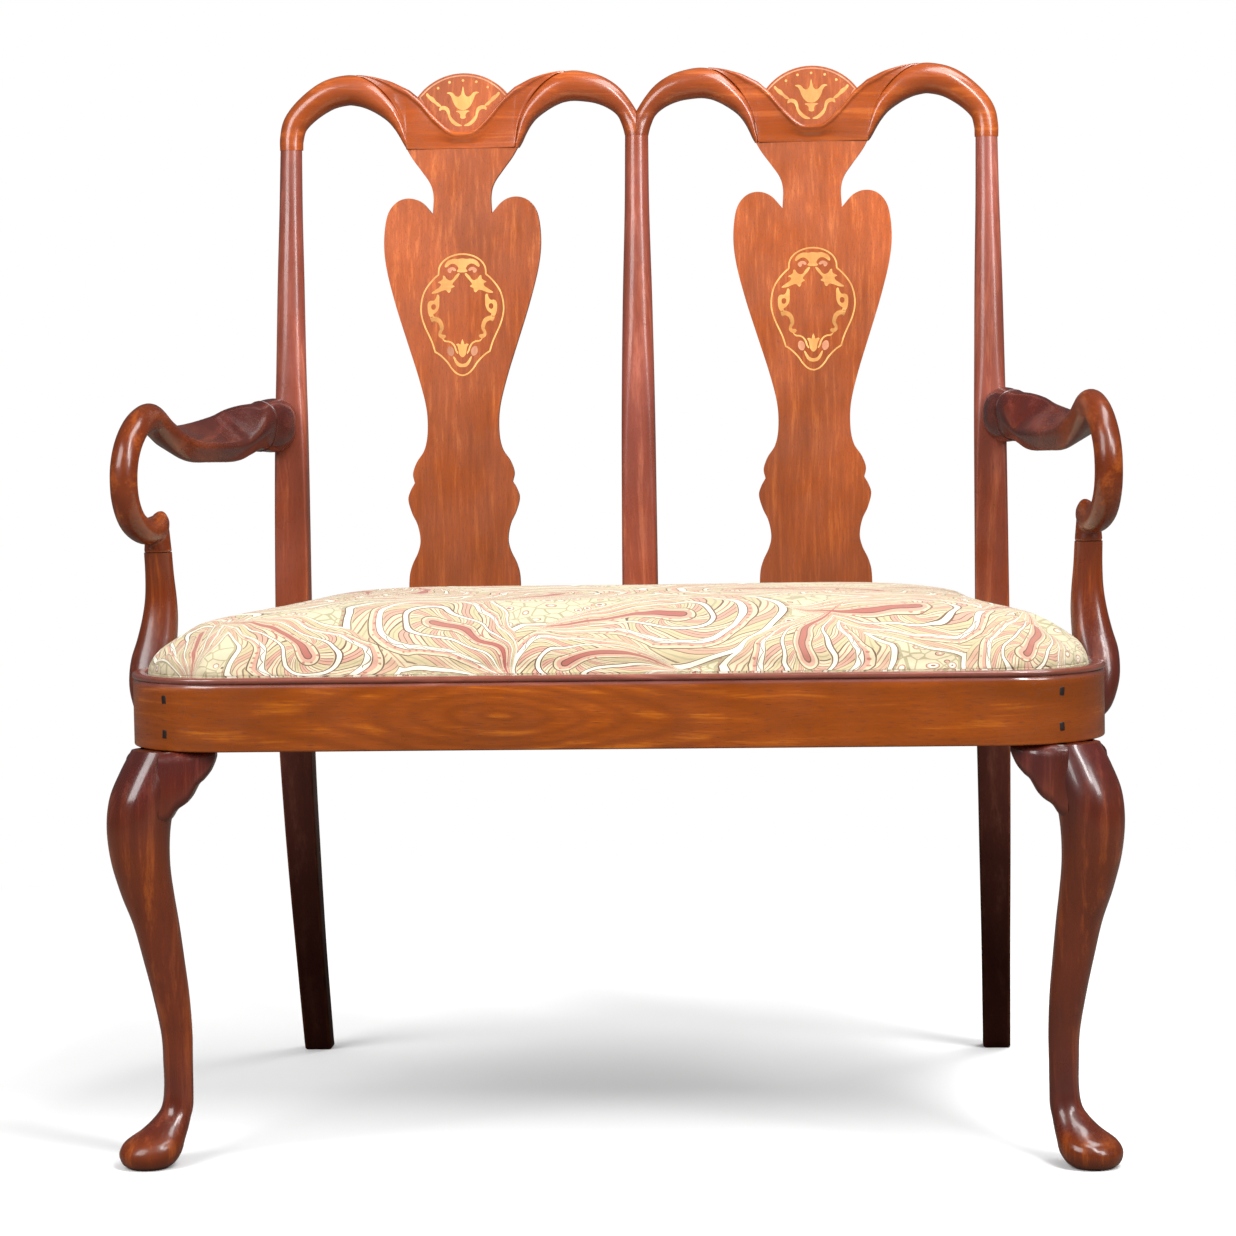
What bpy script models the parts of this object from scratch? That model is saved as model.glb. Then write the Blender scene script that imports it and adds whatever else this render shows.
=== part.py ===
"""A two-seat settee with a double chair back, crook arms, cabriole front legs and a lift-out seat.

Metres, +Z up. +X is the sitter's left as seen from the front, the front faces -Y, and the origin is on
the floor, under the middle of the whole settee.
"""
import math

import bmesh
import bpy
from mathutils import Matrix, Vector

# Fits and tool overruns
GAP = 0.0003
WELD = GAP / 10
OVERRUN = 0.010

# Seat frame, seen from above
SEAT_HALF_WIDTH = 0.446
FRONT_Y = -0.299
BACK_Y = 0.143
CORNER_RADIUS = 0.095
SIDE_TAPER = math.radians(12.4)
CORNER_STEPS = 8
SECTION_STEPS = 3
SHARP_ANGLE = math.radians(40)

# Seat rails
RAIL_TOP = 0.449
RAIL_HEIGHT = 0.067
RAIL_THICKNESS = 0.030
LIP_WIDTH = 0.0125
LIP_HEIGHT = 0.0055
LIP_PROUD = 0.0022
LIP_GROOVE = 0.0015
REBATE_DEPTH = 0.020
TENON_THICKNESS = 0.009
TENON_LENGTH = 0.022
TENON_SHOULDER = 0.013
REAR_TENON_LENGTH = 0.013
BACK_RAIL_REACH = 0.020
BACK_RAIL_THICKNESS = 0.036

# Rear posts, each a leg and an outer stile in one length
POST_INSET = 0.0915
POST_SPACING = SEAT_HALF_WIDTH - POST_INSET
POST_WIDTH = 0.0340
POST_DEPTH = 0.029
POST_SPLAY = 0.004
LEG_KICK_DEPTH = 0.134
KICK_TOP = 0.370
BACK_LEAN = 0.026
BACK_RAKE = 0.046
KICK_POWER = 1.3
HOOP_TOP = 1.021
CREST_JOINT_DROP = 0.0765
CREST_JOINT = HOOP_TOP - CREST_JOINT_DROP
DOWEL_RADIUS = 0.005
DOWEL_LENGTH = 0.020
DOWEL_SIDES = 12

# Centre stile
CENTRE_WIDTH = 0.0355
CENTRE_DEPTH = 0.028
CENTRE_JOINT_DROP = 0.068
CENTRE_JOINT = HOOP_TOP - CENTRE_JOINT_DROP
STILE_TENON = 0.024

# Crest rails: two rods and a saddle each
UNIT_SHARE = 0.502
UNIT_X = POST_SPACING * UNIT_SHARE
HOOP_REACH = 0.120
HOOP_INNER_REACH = 0.1145
ROD_RADIUS = 0.0155
CREST_DEPTH = 0.027
SADDLE_DIP = 0.061
SADDLE_HALF_WIDTH = 0.0565
SADDLE_ROUNDNESS = 0.45
ROD_END_SHARE = 0.78
FAN_HALF_WIDTH = 0.0464
FAN_SIDE_DROP = 0.0235
FAN_RISE = 0.0232
FAN_THICKNESS = 0.010
FAN_SETBACK = 0.0125
FAN_FOOT = 0.005
FAN_STEPS = 14

# Splats and their shoes
SPLAT_HALF_WIDTH = 0.0800
SPLAT_THICKNESS = 0.010
SPLAT_SETBACK = 0.006
SPLAT_JOINT_DROP = 0.078
SPLAT_JOINT = HOOP_TOP - SPLAT_JOINT_DROP
SPLAT_TONGUE = 0.006
SPLAT_LEVELS = 9
SPLAT_CURVE_STEPS = 3
TONGUE_HALF_WIDTH = 0.034
TONGUE_THICKNESS = 0.005
SHOE_HALF_LENGTH = 0.088
SHOE_HEIGHT = 0.038
SHOE_DEPTH = 0.026
SHOE_SLOT = 0.028
SHOE_ROUND = 0.008
SHOE_STEPS = 3
SLOT_PLAY = 0.0015

# Arms and their supports
ARM_OFFSET = 0.0075
ARM_STILE_X = POST_SPACING + ARM_OFFSET
ARM_STILE_Z = 0.6655
ARM_SWING = 0.0120
ARM_END_HEIGHT = 0.0520
ARM_END_WIDTH = 0.0400
ELBOW_TILT = math.radians(38)
CROOK_OVERHANG = 0.0058
CROOK_X = SEAT_HALF_WIDTH + CROOK_OVERHANG
CROOK_TOP = 0.6930
CROOK_RADIUS = 0.0129
CROOK_FRONT = -0.207
HEEL_RISE = 0.018
HEEL_TAPER = 0.8
SUPPORT_INSET = 0.0095
SUPPORT_X = SEAT_HALF_WIDTH - SUPPORT_INSET
SUPPORT_Y = -0.125
SUPPORT_TOP = 0.5540
SUPPORT_WIDTH = 0.0280
SUPPORT_DEPTH = 0.0270
SUPPORT_FOOT = 0.393
SUPPORT_BULGE = 0.0235
SUPPORT_LEAN = 0.50
SUPPORT_ROUNDNESS = 0.9
ARM_DOWEL_RADIUS = 0.004
ARM_DOWEL_LENGTH = 0.032
SCREW_RADIUS = 0.0022
SCREW_HEAD_RADIUS = 0.0045
SCREW_HEAD_HEIGHT = 0.0030
SUPPORT_SCREW_LENGTH = 0.034
ARM_SCREW_LENGTH = 0.052
ARM_SCREW_SINK = 0.006

# Cabriole front legs, knee brackets and pegs
KNEE_OUT = 0.0312
FOOT_OUT = 0.0275
ANKLE_IN = 0.0050
LEG_INSET = 0.0145
KNEE_RADIUS = 0.0280
PAD_RADIUS = 0.0285
LEG_TENON_RADIUS = 0.0095
LEG_TENON_LENGTH = 0.034
BRACKET_LENGTH = 0.050
BRACKET_HEIGHT = 0.066
BRACKET_DEPTH = 0.036
BRACKET_LEAN = 0.06
BRACKET_ROUNDNESS = 0.6
PEG_WIDTH = 0.0058
PEG_HEIGHT = 0.0082
PEG_LENGTH = 0.0085
PEG_ANGLE = math.radians(-56)

# Corner blocks
BLOCK_HEIGHT = 0.036
BLOCK_LEG = 0.050

# Lift-out slip seat
SLIP_CLEARANCE = 0.0030
SLIP_THICKNESS = 0.0180
SLIP_MEMBER = 0.045
BAR_WIDTH = 0.050
WEB_THICKNESS = 0.002
WEB_INSET = 0.012
CLOTH_THICKNESS = 0.001
CUSHION_CROWN = 0.058
CUSHION_SIDE = 0.006
CUSHION_DRAW = 0.007

# Shares, chosen by hand, of the sizes above
POST_SHARES = (
    # height, width, depth, roundness
    (0.000, 0.83, 0.94, 0.25), (0.060, 0.845, 0.95, 0.22), (0.120, 0.86, 0.96, 0.20),
    (0.185, 0.895, 0.98, 0.17), (0.250, 0.93, 1.00, 0.15), (0.310, 0.955, 1.00, 0.14),
    (0.355, 0.98, 1.00, 0.13), (0.392, 1.00, 1.00, 0.12), (0.476, 1.00, 1.00, 0.12),
    (0.560, 0.98, 1.00, 0.15), (0.640, 0.96, 0.98, 0.25), (0.705, 0.94, 0.95, 0.50),
    (0.760, 0.90, 0.92, 0.85), (0.850, 0.82, 0.87, 1.00), (0.930, 0.71, 0.82, 1.00),
    (1.000, 0.65, 0.78, 1.00),
)
CENTRE_SHARES = (
    (0.00, 1.00, 1.00, 0.25), (0.25, 0.97, 1.00, 0.35), (0.45, 0.94, 0.98, 0.60), (0.65, 0.86, 0.95, 1.00),
    (0.85, 0.71, 0.90, 1.00), (1.00, 0.665, 0.88, 1.00),
)
OUTER_ROD_SHARES = (
    # across from post to saddle, height from joint to top, radius
    (0.000, 0.00, 0.77), (0.002, 0.20, 0.79), (0.032, 0.45, 0.83), (0.132, 0.70, 0.90), (0.281, 0.92, 0.98),
    (0.438, 1.00, 1.00), (0.588, 0.965, 0.98), (0.745, 0.79, 0.92), (0.858, 0.50, 0.70), (0.925, 0.20, 0.38),
)
INNER_ROD_SHARES = (
    # the same, from the middle of the centre stile
    (0.000, 0.00, 0.76), (0.019, 0.15, 0.72), (0.046, 0.30, 0.65), (0.078, 0.46, 0.62), (0.123, 0.61, 0.67),
    (0.187, 0.76, 0.79), (0.258, 0.87, 0.88), (0.345, 0.95, 0.95), (0.474, 1.00, 1.00),
    (0.620, 0.955, 0.97), (0.765, 0.77, 0.90), (0.870, 0.49, 0.70), (0.933, 0.20, 0.38),
)
SADDLE_SHARES = (
    # across from the middle to the hoop's top, top below the hoop's top, underside, depth
    (0.00, 1.00, 0.00, 0.92), (0.12, 0.95, 0.00, 0.92), (0.26, 0.66, 0.00, 0.95), (0.40, 0.35, 0.02, 0.98),
    (0.54, 0.18, 0.28, 1.00), (0.70, 0.07, 0.55, 0.95), (0.86, 0.01, 0.68, 0.80),
)
SPLAT_SHARES = (
    # half width, height from the shoe's slot to the crest joint, sharp corner or not
    (0.700, 0.000, True), (0.706, 0.090, False), (0.671, 0.125, False), (0.586, 0.156, False),
    (0.557, 0.181, False), (0.590, 0.212, False), (0.660, 0.237, False), (0.706, 0.265, False),
    (0.676, 0.284, False), (0.622, 0.300, True), (0.643, 0.320, False), (0.592, 0.344, False),
    (0.495, 0.369, False), (0.453, 0.405, False), (0.466, 0.456, False), (0.561, 0.520, False),
    (0.704, 0.595, False), (0.848, 0.671, False), (0.966, 0.748, False), (1.000, 0.806, False),
    (0.958, 0.861, False), (0.840, 0.889, False), (0.680, 0.897, False), (0.520, 0.888, False),
    (0.375, 0.862, True), (0.366, 0.900, False), (0.405, 0.926, False), (0.510, 0.952, False),
    (0.631, 0.979, False), (0.706, 1.000, True),
)
ARM_SHARES = (
    # along from post to crook, across, height in swings, half width, half height, roundness, tilt
    (-0.040, 0.000, 0.00, 0.50, 0.52, 0.80, 0.00), (0.080, 0.090, 0.00, 0.55, 0.50, 0.75, 0.30),
    (0.176, 0.245, -0.05, 0.62, 0.38, 0.65, 0.85), (0.312, 0.445, -0.85, 0.63, 0.23, 0.60, 1.00),
    (0.462, 0.612, -1.05, 0.57, 0.21, 0.65, 0.80), (0.599, 0.724, -0.90, 0.48, 0.23, 0.75, 0.80),
    (0.722, 0.807, 0.25, 0.40, 0.24, 0.90, 0.90), (0.8145, 0.846, 1.30, 0.34, 0.25, 1.00, 1.00),
)
CROOK_SHARES = (
    # forward and back, across, height from support top to crook top, radius
    (0.524, 0.896, 0.885, 1.00), (0.768, 0.938, 0.806, 1.00), (0.927, 0.974, 0.690, 1.00),
    (1.000, 0.991, 0.547, 1.00), (0.960, 0.986, 0.374, 1.00), (0.760, 0.952, 0.230, 1.00),
    (0.430, 0.891, 0.140, 0.98), (0.130, 0.830, 0.150, 0.85), (0.000, 0.800, 0.240, 0.55),
)
SUPPORT_SHARES = (
    # height from foot to top, across in bulges, forward, half width, half depth
    (1.00, 0.00, 0.06, 0.46, 0.50), (0.86, -0.03, 0.02, 0.48, 0.47), (0.73, -0.05, 0.00, 0.53, 0.48),
    (0.61, -0.01, 0.04, 0.60, 0.53), (0.49, 0.10, 0.12, 0.67, 0.60), (0.39, 0.23, 0.22, 0.73, 0.66),
    (0.30, 0.32, 0.34, 0.71, 0.68), (0.21, 0.36, 0.46, 0.65, 0.64), (0.12, 0.33, 0.58, 0.54, 0.54),
    (0.05, 0.26, 0.66, 0.42, 0.42), (0.00, 0.16, 0.70, 0.26, 0.26),
)
PEG_SHARES = (0.30, 0.77)
SUPPORT_SCREW_SHARES = (
    # which screw, drop below the rail's top, forward of the support's middle
    ("upper", 0.40, 0.10), ("lower", 0.59, 0.19),
)
LEG_SHARES = (
    # height, knee share out, foot share out, ankle share in, radius as a share of the knee's, roundness
    (0.000, 0.00, 1.10, 0.0, 0.62, 1.0), (0.012, 0.00, 1.08, 0.0, 0.85, 1.0),
    (0.035, 0.00, 1.00, 0.0, 1.00, 1.0), (0.060, 0.00, 0.82, 0.0, 0.96, 1.0),
    (0.084, 0.00, 0.42, 0.0, 0.76, 1.0), (0.108, 0.00, 0.12, 0.0, 0.61, 1.0),
    (0.135, 0.00, 0.00, 0.6, 0.52, 1.0), (0.180, 0.00, 0.00, 1.0, 0.48, 1.0),
    (0.240, 0.00, 0.00, 1.0, 0.485, 1.0), (0.310, 0.00, 0.00, 0.9, 0.51, 1.0),
    (0.400, 0.09, 0.00, 0.5, 0.59, 1.0), (0.490, 0.23, 0.00, 0.0, 0.665, 1.0),
    (0.580, 0.47, 0.00, 0.0, 0.745, 1.0), (0.660, 0.76, 0.00, 0.0, 0.86, 1.0),
    (0.740, 0.97, 0.00, 0.0, 0.94, 0.95), (0.820, 1.00, 0.00, 0.0, 1.00, 0.90),
    (0.890, 0.82, 0.00, 0.0, 1.03, 0.85), (0.950, 0.47, 0.00, 0.0, 1.00, 0.85),
    (1.000, 0.10, 0.00, 0.0, 0.96, 0.85),
)
BRACKET_SHARES = (
    # along from the leg to the tip, drop, half depth, set-in of the middle from the rail's face
    (0.00, 1.00, 0.48, 0.55), (0.15, 0.94, 0.48, 0.56), (0.27, 0.81, 0.47, 0.57), (0.42, 0.73, 0.45, 0.60),
    (0.54, 0.63, 0.42, 0.61), (0.66, 0.47, 0.37, 0.62), (0.76, 0.40, 0.33, 0.61), (0.88, 0.29, 0.28, 0.60),
    (0.96, 0.17, 0.22, 0.58), (1.00, 0.09, 0.16, 0.56),
)
CUSHION_SHARES = (
    # scale about the middle, share of the crown
    (0.994, 0.28), (0.975, 0.41), (0.930, 0.57), (0.850, 0.74), (0.720, 0.88), (0.520, 0.97), (0.260, 1.00),
)

LEFT, RIGHT = -1, 1
SIDES = (("left", LEFT), ("right", RIGHT))


def clear_scene():
    """Remove what the file opened with, so that a second run gives the same model."""
    for thing in list(bpy.data.objects):
        bpy.data.objects.remove(thing, do_unlink=True)
    for group in list(bpy.data.collections):
        bpy.data.collections.remove(group)


def new_collection(name):
    group = bpy.data.collections.new(name)
    bpy.context.scene.collection.children.link(group)
    return group


clear_scene()
PARTS = new_collection("settee")
CUTTERS = new_collection("cutters")


def material(name, colour, roughness, metallic=0.0):
    """A plain finish in the colour that the piece shows."""
    finish = bpy.data.materials.new(name)
    finish.use_nodes = True
    shader = finish.node_tree.nodes["Principled BSDF"]
    shader.inputs["Base Color"].default_value = (*colour, 1.0)
    shader.inputs["Roughness"].default_value = roughness
    shader.inputs["Metallic"].default_value = metallic
    finish.diffuse_color = (*colour, 1.0)
    return finish


MAHOGANY = material("mahogany", (0.22, 0.055, 0.030), 0.32)
RAIL_WOOD = material("rail_mahogany", (0.36, 0.105, 0.035), 0.35)
SPLAT_WOOD = material("splat_mahogany", (0.42, 0.135, 0.050), 0.33)
DARK_WOOD = material("dark_mahogany", (0.10, 0.025, 0.016), 0.30)
BEECH = material("beech", (0.52, 0.34, 0.19), 0.60)
PEG_WOOD = material("peg_wood", (0.050, 0.016, 0.010), 0.45)
STEEL = material("screw_steel", (0.42, 0.40, 0.38), 0.40, 1.0)
WEBBING = material("jute_webbing", (0.48, 0.38, 0.24), 0.90)
CAMBRIC = material("black_cambric", (0.030, 0.028, 0.026), 0.95)
PAISLEY = material("paisley_cloth", (0.72, 0.60, 0.40), 0.90)


def show(name, mesh, finish, smooth=True):
    """Put a mesh in the model as a named piece, shaded smooth but for its sharp edges."""
    mesh.materials.clear()
    mesh.materials.append(finish)
    if smooth:
        mesh.shade_smooth()
        mesh.set_sharp_from_angle(angle=SHARP_ANGLE)
    piece = bpy.data.objects.new(name, mesh)
    PARTS.objects.link(piece)
    return piece


def as_cutter(name, mesh):
    """A guide shape that is cut away from, or joined to, a piece."""
    cutter = bpy.data.objects.new(name, mesh)
    cutter.display_type = "WIRE"
    cutter.hide_render = True
    CUTTERS.objects.link(cutter)
    return cutter


def combine(piece, cutter, operation="DIFFERENCE"):
    change = piece.modifiers.new(cutter.name, "BOOLEAN")
    change.operation = operation
    change.object = cutter
    change.solver = "EXACT"


def loft(name, rings):
    """A closed mesh through rings of equally many points, with a flat cap at each end."""
    bm = bmesh.new()
    rows = [[bm.verts.new(point) for point in ring] for ring in rings]
    count = len(rows[0])
    for low, high in zip(rows, rows[1:]):
        for k in range(count):
            bm.faces.new((low[k], low[(k + 1) % count], high[(k + 1) % count], high[k]))
    bm.faces.new(rows[0][::-1])
    bm.faces.new(rows[-1])
    bmesh.ops.recalc_face_normals(bm, faces=bm.faces)
    mesh = bpy.data.meshes.new(name)
    bm.to_mesh(mesh)
    bm.free()
    return mesh


def slab(name, outline, thickness):
    """A flat outline with that thickness, lying in the XY plane with its middle at height zero."""
    curve = bpy.data.curves.new(name, "CURVE")
    curve.dimensions = "2D"
    curve.fill_mode = "BOTH"
    curve.extrude = thickness / 2
    spline = curve.splines.new("POLY")
    spline.points.add(len(outline) - 1)
    for point, (x, y) in zip(spline.points, outline):
        point.co = (x, y, 0, 1)
    spline.use_cyclic_u = True
    return evaluated_mesh(name, curve)


def evaluated_mesh(name, data, change=None):
    """The closed mesh of a curve or an outline with its changes made, and its seams welded."""
    guide = bpy.data.objects.new(name + "_guide", data)
    bpy.context.scene.collection.objects.link(guide)
    if change:
        change(guide)
    bpy.context.view_layer.update()
    evaluated = guide.evaluated_get(bpy.context.evaluated_depsgraph_get())
    mesh = bpy.data.meshes.new_from_object(evaluated)
    bpy.data.objects.remove(guide, do_unlink=True)
    bm = bmesh.new()
    bm.from_mesh(mesh)
    bmesh.ops.remove_doubles(bm, verts=bm.verts, dist=WELD)
    bmesh.ops.recalc_face_normals(bm, faces=bm.faces)
    bm.to_mesh(mesh)
    bm.free()
    mesh.name = name
    return mesh


def block(name, low, high):
    """A rectangular block between two corners."""
    bm = bmesh.new()
    size = Vector(high) - Vector(low)
    middle = (Vector(high) + Vector(low)) / 2
    bmesh.ops.create_cube(bm, size=1, matrix=Matrix.Translation(middle) @ Matrix.Diagonal((*size, 1)))
    mesh = bpy.data.meshes.new(name)
    bm.to_mesh(mesh)
    bm.free()
    return mesh


def rod(name, start, end, radius, sides=DOWEL_SIDES):
    """A round rod between two points."""
    start, end = Vector(start), Vector(end)
    turn = (end - start).to_track_quat("Z", "Y").to_matrix().to_4x4()
    bm = bmesh.new()
    bmesh.ops.create_cone(bm, cap_ends=True, segments=sides, radius1=radius, radius2=radius,
                          depth=(end - start).length, matrix=Matrix.Translation((start + end) / 2) @ turn)
    mesh = bpy.data.meshes.new(name)
    bm.to_mesh(mesh)
    bm.free()
    return mesh


def moved(mesh, matrix):
    mesh.transform(matrix)
    return mesh


def section(half_width, half_depth, roundness, steps=SECTION_STEPS):
    """A rectangle with rounded corners. Roundness 0 is square, and 1 is as round as the sizes allow."""
    corner = roundness * min(half_width, half_depth) + GAP
    corner = min(corner, half_width, half_depth)
    points = []
    for quarter in range(4):
        across = half_width - corner if quarter in (0, 3) else corner - half_width
        along = half_depth - corner if quarter < 2 else corner - half_depth
        for k in range(steps):
            angle = math.pi / 2 * (quarter + (k + 0.5) / steps)
            points.append((across + corner * math.cos(angle), along + corner * math.sin(angle)))
    return points


def smooth_rows(rows, per_span):
    """More rows on a smooth curve through the given ones, all their numbers alike."""
    full = [tuple(2 * a - b for a, b in zip(rows[0], rows[1]))] + list(rows)
    full.append(tuple(2 * a - b for a, b in zip(rows[-1], rows[-2])))
    result = []
    for before, start, end, after in zip(full, full[1:], full[2:], full[3:]):
        for k in range(per_span):
            t = k / per_span
            result.append(tuple(
                b + t * (c - a + t * (2 * a - 5 * b + 4 * c - d + t * (3 * b - a - 3 * c + d))) / 2
                for a, b, c, d in zip(before, start, end, after)))
    result.append(tuple(rows[-1]))
    return result


def level_rings(rows, side, grow=0.0):
    """Level sections, one above the other. A row is x, y, z, half width, half depth and roundness."""
    return [[Vector((side * (x + a), y + b, z)) for a, b in section(w + grow, d + grow, r)]
            for x, y, z, w, d, r in rows]


def path_rings(rows, side, grow=0.0):
    """Sections square to a path. A row is x, y, z, half width, half height, roundness and tilt."""
    places = [Vector(row[:3]) for row in rows]
    across = Vector((1, 0, 0))
    rings = []
    for k, (place, row) in enumerate(zip(places, rows)):
        ahead = (places[min(k + 1, len(places) - 1)] - places[max(k - 1, 0)]).normalized()
        across = (across - ahead * across.dot(ahead)).normalized()
        up = ahead.cross(across)
        ring = []
        tilt = Matrix.Rotation(row[6], 2)
        for pair in section(row[3] + grow, row[4] + grow, min(row[5], 1.0)):
            a, b = tilt @ Vector(pair)
            point = place + across * a + up * b
            ring.append(Vector((side * point.x, point.y, point.z)))
        rings.append(ring)
    return rings


def back_front(z):
    """Where the front faces of the posts are at a height: raked above the seat, kicked back below it."""
    if z >= RAIL_TOP:
        s = (z - RAIL_TOP) / (HOOP_TOP - RAIL_TOP)
        return BACK_Y + BACK_LEAN * s + BACK_RAKE * s * s
    t = max(KICK_TOP - z, 0) / KICK_TOP
    return BACK_Y + LEG_KICK_DEPTH * t ** KICK_POWER


# Seat outline, seen from above. A station is a point on the outer face and the way inwards from it.
ARC_X = SEAT_HALF_WIDTH - CORNER_RADIUS
ARC_Y = FRONT_Y + CORNER_RADIUS


def arc_station(angle):
    out = Vector((math.cos(angle), math.sin(angle)))
    return Vector((ARC_X, ARC_Y)) + out * CORNER_RADIUS, -out


def side_station(y):
    """The outer face of the side rail where it ends square to the seat's length."""
    start, inward = arc_station(SIDE_TAPER)
    back = Vector((-math.sin(SIDE_TAPER), math.cos(SIDE_TAPER)))
    place = start + back * ((y - start.y) / back.y)
    return place, Vector((-1 / math.cos(SIDE_TAPER), 0))


def corner_stations():
    first, last = -math.pi / 2, SIDE_TAPER
    return [arc_station(first + (last - first) * k / CORNER_STEPS) for k in range(CORNER_STEPS + 1)]


def mirrored(stations):
    """The stations of the left half, then those of the right half, from the back left to the back right."""
    left = [(Vector((-p.x, p.y)), Vector((-d.x, d.y))) for p, d in reversed(stations)]
    return left + stations


def seat_outline(inset, back):
    """The seat's outline at an inset from the rails' outer face, closed by a straight back edge."""
    stations = mirrored(corner_stations() + [side_station(back)])
    return [place + inward * inset for place, inward in stations]


def rail_profile():
    """The rails' section: inset from the outer face, and height. Lip, groove and rebate are part of it."""
    bottom = RAIL_TOP - RAIL_HEIGHT
    ledge = RAIL_TOP - REBATE_DEPTH
    lip = RAIL_TOP - LIP_HEIGHT
    ease = LIP_GROOVE
    return [
        (RAIL_THICKNESS, bottom), (ease, bottom), (0, bottom + ease), (0, lip - ease),
        (LIP_GROOVE, lip - ease / 2), (0, lip), (-LIP_PROUD, lip + LIP_HEIGHT / 4),
        (-LIP_PROUD, RAIL_TOP - LIP_HEIGHT / 4), (0, RAIL_TOP), (LIP_WIDTH - ease, RAIL_TOP),
        (LIP_WIDTH, RAIL_TOP - ease), (LIP_WIDTH, ledge), (RAIL_THICKNESS, ledge),
    ]


def rail_mesh(name, stations):
    rings = []
    for place, inward in stations:
        ring = [place + inward * inset for inset, _ in rail_profile()]
        rings.append([Vector((p.x, p.y, z)) for p, (_, z) in zip(ring, rail_profile())])
    return loft(name, rings)


def shifted(station, distance):
    """A station moved along the side rail."""
    place, inward = station
    back = Vector((-math.sin(SIDE_TAPER), math.cos(SIDE_TAPER)))
    return place + back * distance, inward


TENON_LOW = RAIL_TOP - RAIL_HEIGHT + TENON_SHOULDER
TENON_HIGH = RAIL_TOP - REBATE_DEPTH - TENON_SHOULDER / 2


def front_tenon(name, side, grow):
    """The side rail's tenon into the end of the front rail."""
    place, inward = arc_station(SIDE_TAPER)
    rings = []
    for distance in (-TENON_LENGTH - grow, TENON_LENGTH):
        p, d = shifted((place, inward), distance)
        ring = []
        for inset, z in ((-1, -1), (1, -1), (1, 1), (-1, 1)):
            q = p + d * (RAIL_THICKNESS / 2 + inset * (TENON_THICKNESS / 2 + grow))
            level = TENON_LOW - grow if z < 0 else TENON_HIGH + grow
            ring.append(Vector((side * q.x, q.y, level)))
        rings.append(ring)
    return loft(name, rings)


def back_tenon(name, side, grow):
    """The side rail's tenon into the rear post."""
    place, inward = side_station(BACK_Y)
    middle = side * (place + inward * (RAIL_THICKNESS / 2)).x
    half = TENON_THICKNESS / 2 + grow
    return block(name, (middle - half, BACK_Y - TENON_LENGTH, TENON_LOW - grow),
                 (middle + half, BACK_Y + TENON_LENGTH + grow, TENON_HIGH + grow))


def rear_rail_tenon(name, side, grow):
    """The back rail's tenon into the rear post's inner face."""
    inner = POST_SPACING - POST_WIDTH / 2
    xs = sorted((side * (inner - OVERRUN), side * (inner + REAR_TENON_LENGTH + grow)))
    middle = BACK_Y + BACK_RAIL_THICKNESS / 4
    half = TENON_THICKNESS / 2 + grow
    return block(name, (xs[0], middle - half, TENON_LOW - grow), (xs[1], middle + half, TENON_HIGH + grow))


def leg_axis():
    """Where the front leg's round tenon stands, under the middle of the rail's corner."""
    out = Vector((math.cos(-math.pi / 4), math.sin(-math.pi / 4)))
    return Vector((ARC_X, ARC_Y)) + out * (CORNER_RADIUS - LEG_INSET), out


def leg_tenon(name, side, grow):
    axis, _ = leg_axis()
    bottom = RAIL_TOP - RAIL_HEIGHT
    return rod(name, (side * axis.x, axis.y, bottom - OVERRUN),
               (side * axis.x, axis.y, bottom + LEG_TENON_LENGTH + grow), LEG_TENON_RADIUS + grow)


PEG_LEVELS = [RAIL_TOP - share * RAIL_HEIGHT for share in PEG_SHARES]


def peg(name, side, level, grow):
    """A square peg let into the front rail's corner from outside."""
    place, inward = arc_station(PEG_ANGLE)
    mesh = block(name, (-PEG_WIDTH / 2 - grow, -GAP, -PEG_HEIGHT / 2 - grow),
                 (PEG_WIDTH / 2 + grow, PEG_LENGTH + grow, PEG_HEIGHT / 2 + grow))
    turn = math.atan2(inward.y, side * inward.x) - math.pi / 2
    return moved(mesh, Matrix.Translation((side * place.x, place.y, level)) @ Matrix.Rotation(turn, 4, "Z"))


def build_front_rail():
    stations = mirrored(corner_stations())
    rail = show("front_rail", rail_mesh("front_rail", stations), RAIL_WOOD)
    for word, side in SIDES:
        combine(rail, as_cutter(f"mortise_front_{word}", front_tenon("mortise", side, GAP)))
        combine(rail, as_cutter(f"leg_socket_{word}", leg_tenon("socket", side, GAP)))
        for level_word, level in zip(("upper", "lower"), PEG_LEVELS):
            socket = as_cutter(f"peg_socket_{level_word}_{word}", peg("peg_socket", side, level, GAP))
            combine(rail, socket)
            show(f"rail_peg_{level_word}_{word}", peg("rail_peg", side, level, 0), PEG_WOOD, smooth=False)


def build_side_rail(word, side):
    start = shifted(arc_station(SIDE_TAPER), GAP)
    stations = [start, side_station(BACK_Y - GAP)]
    if side == LEFT:
        stations = [(Vector((-p.x, p.y)), Vector((-d.x, d.y))) for p, d in stations]
    rail = show(f"side_rail_{word}", rail_mesh(f"side_rail_{word}", stations), RAIL_WOOD)
    combine(rail, as_cutter(f"tenon_front_{word}", front_tenon("tenon", side, 0)), "UNION")
    combine(rail, as_cutter(f"tenon_back_{word}", back_tenon("tenon", side, 0)), "UNION")
    for screw_word, (head, tip) in support_screws(side).items():
        combine(rail, as_cutter(f"screw_hole_rail_{screw_word}_{word}", screw_hole(head, tip)))


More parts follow.
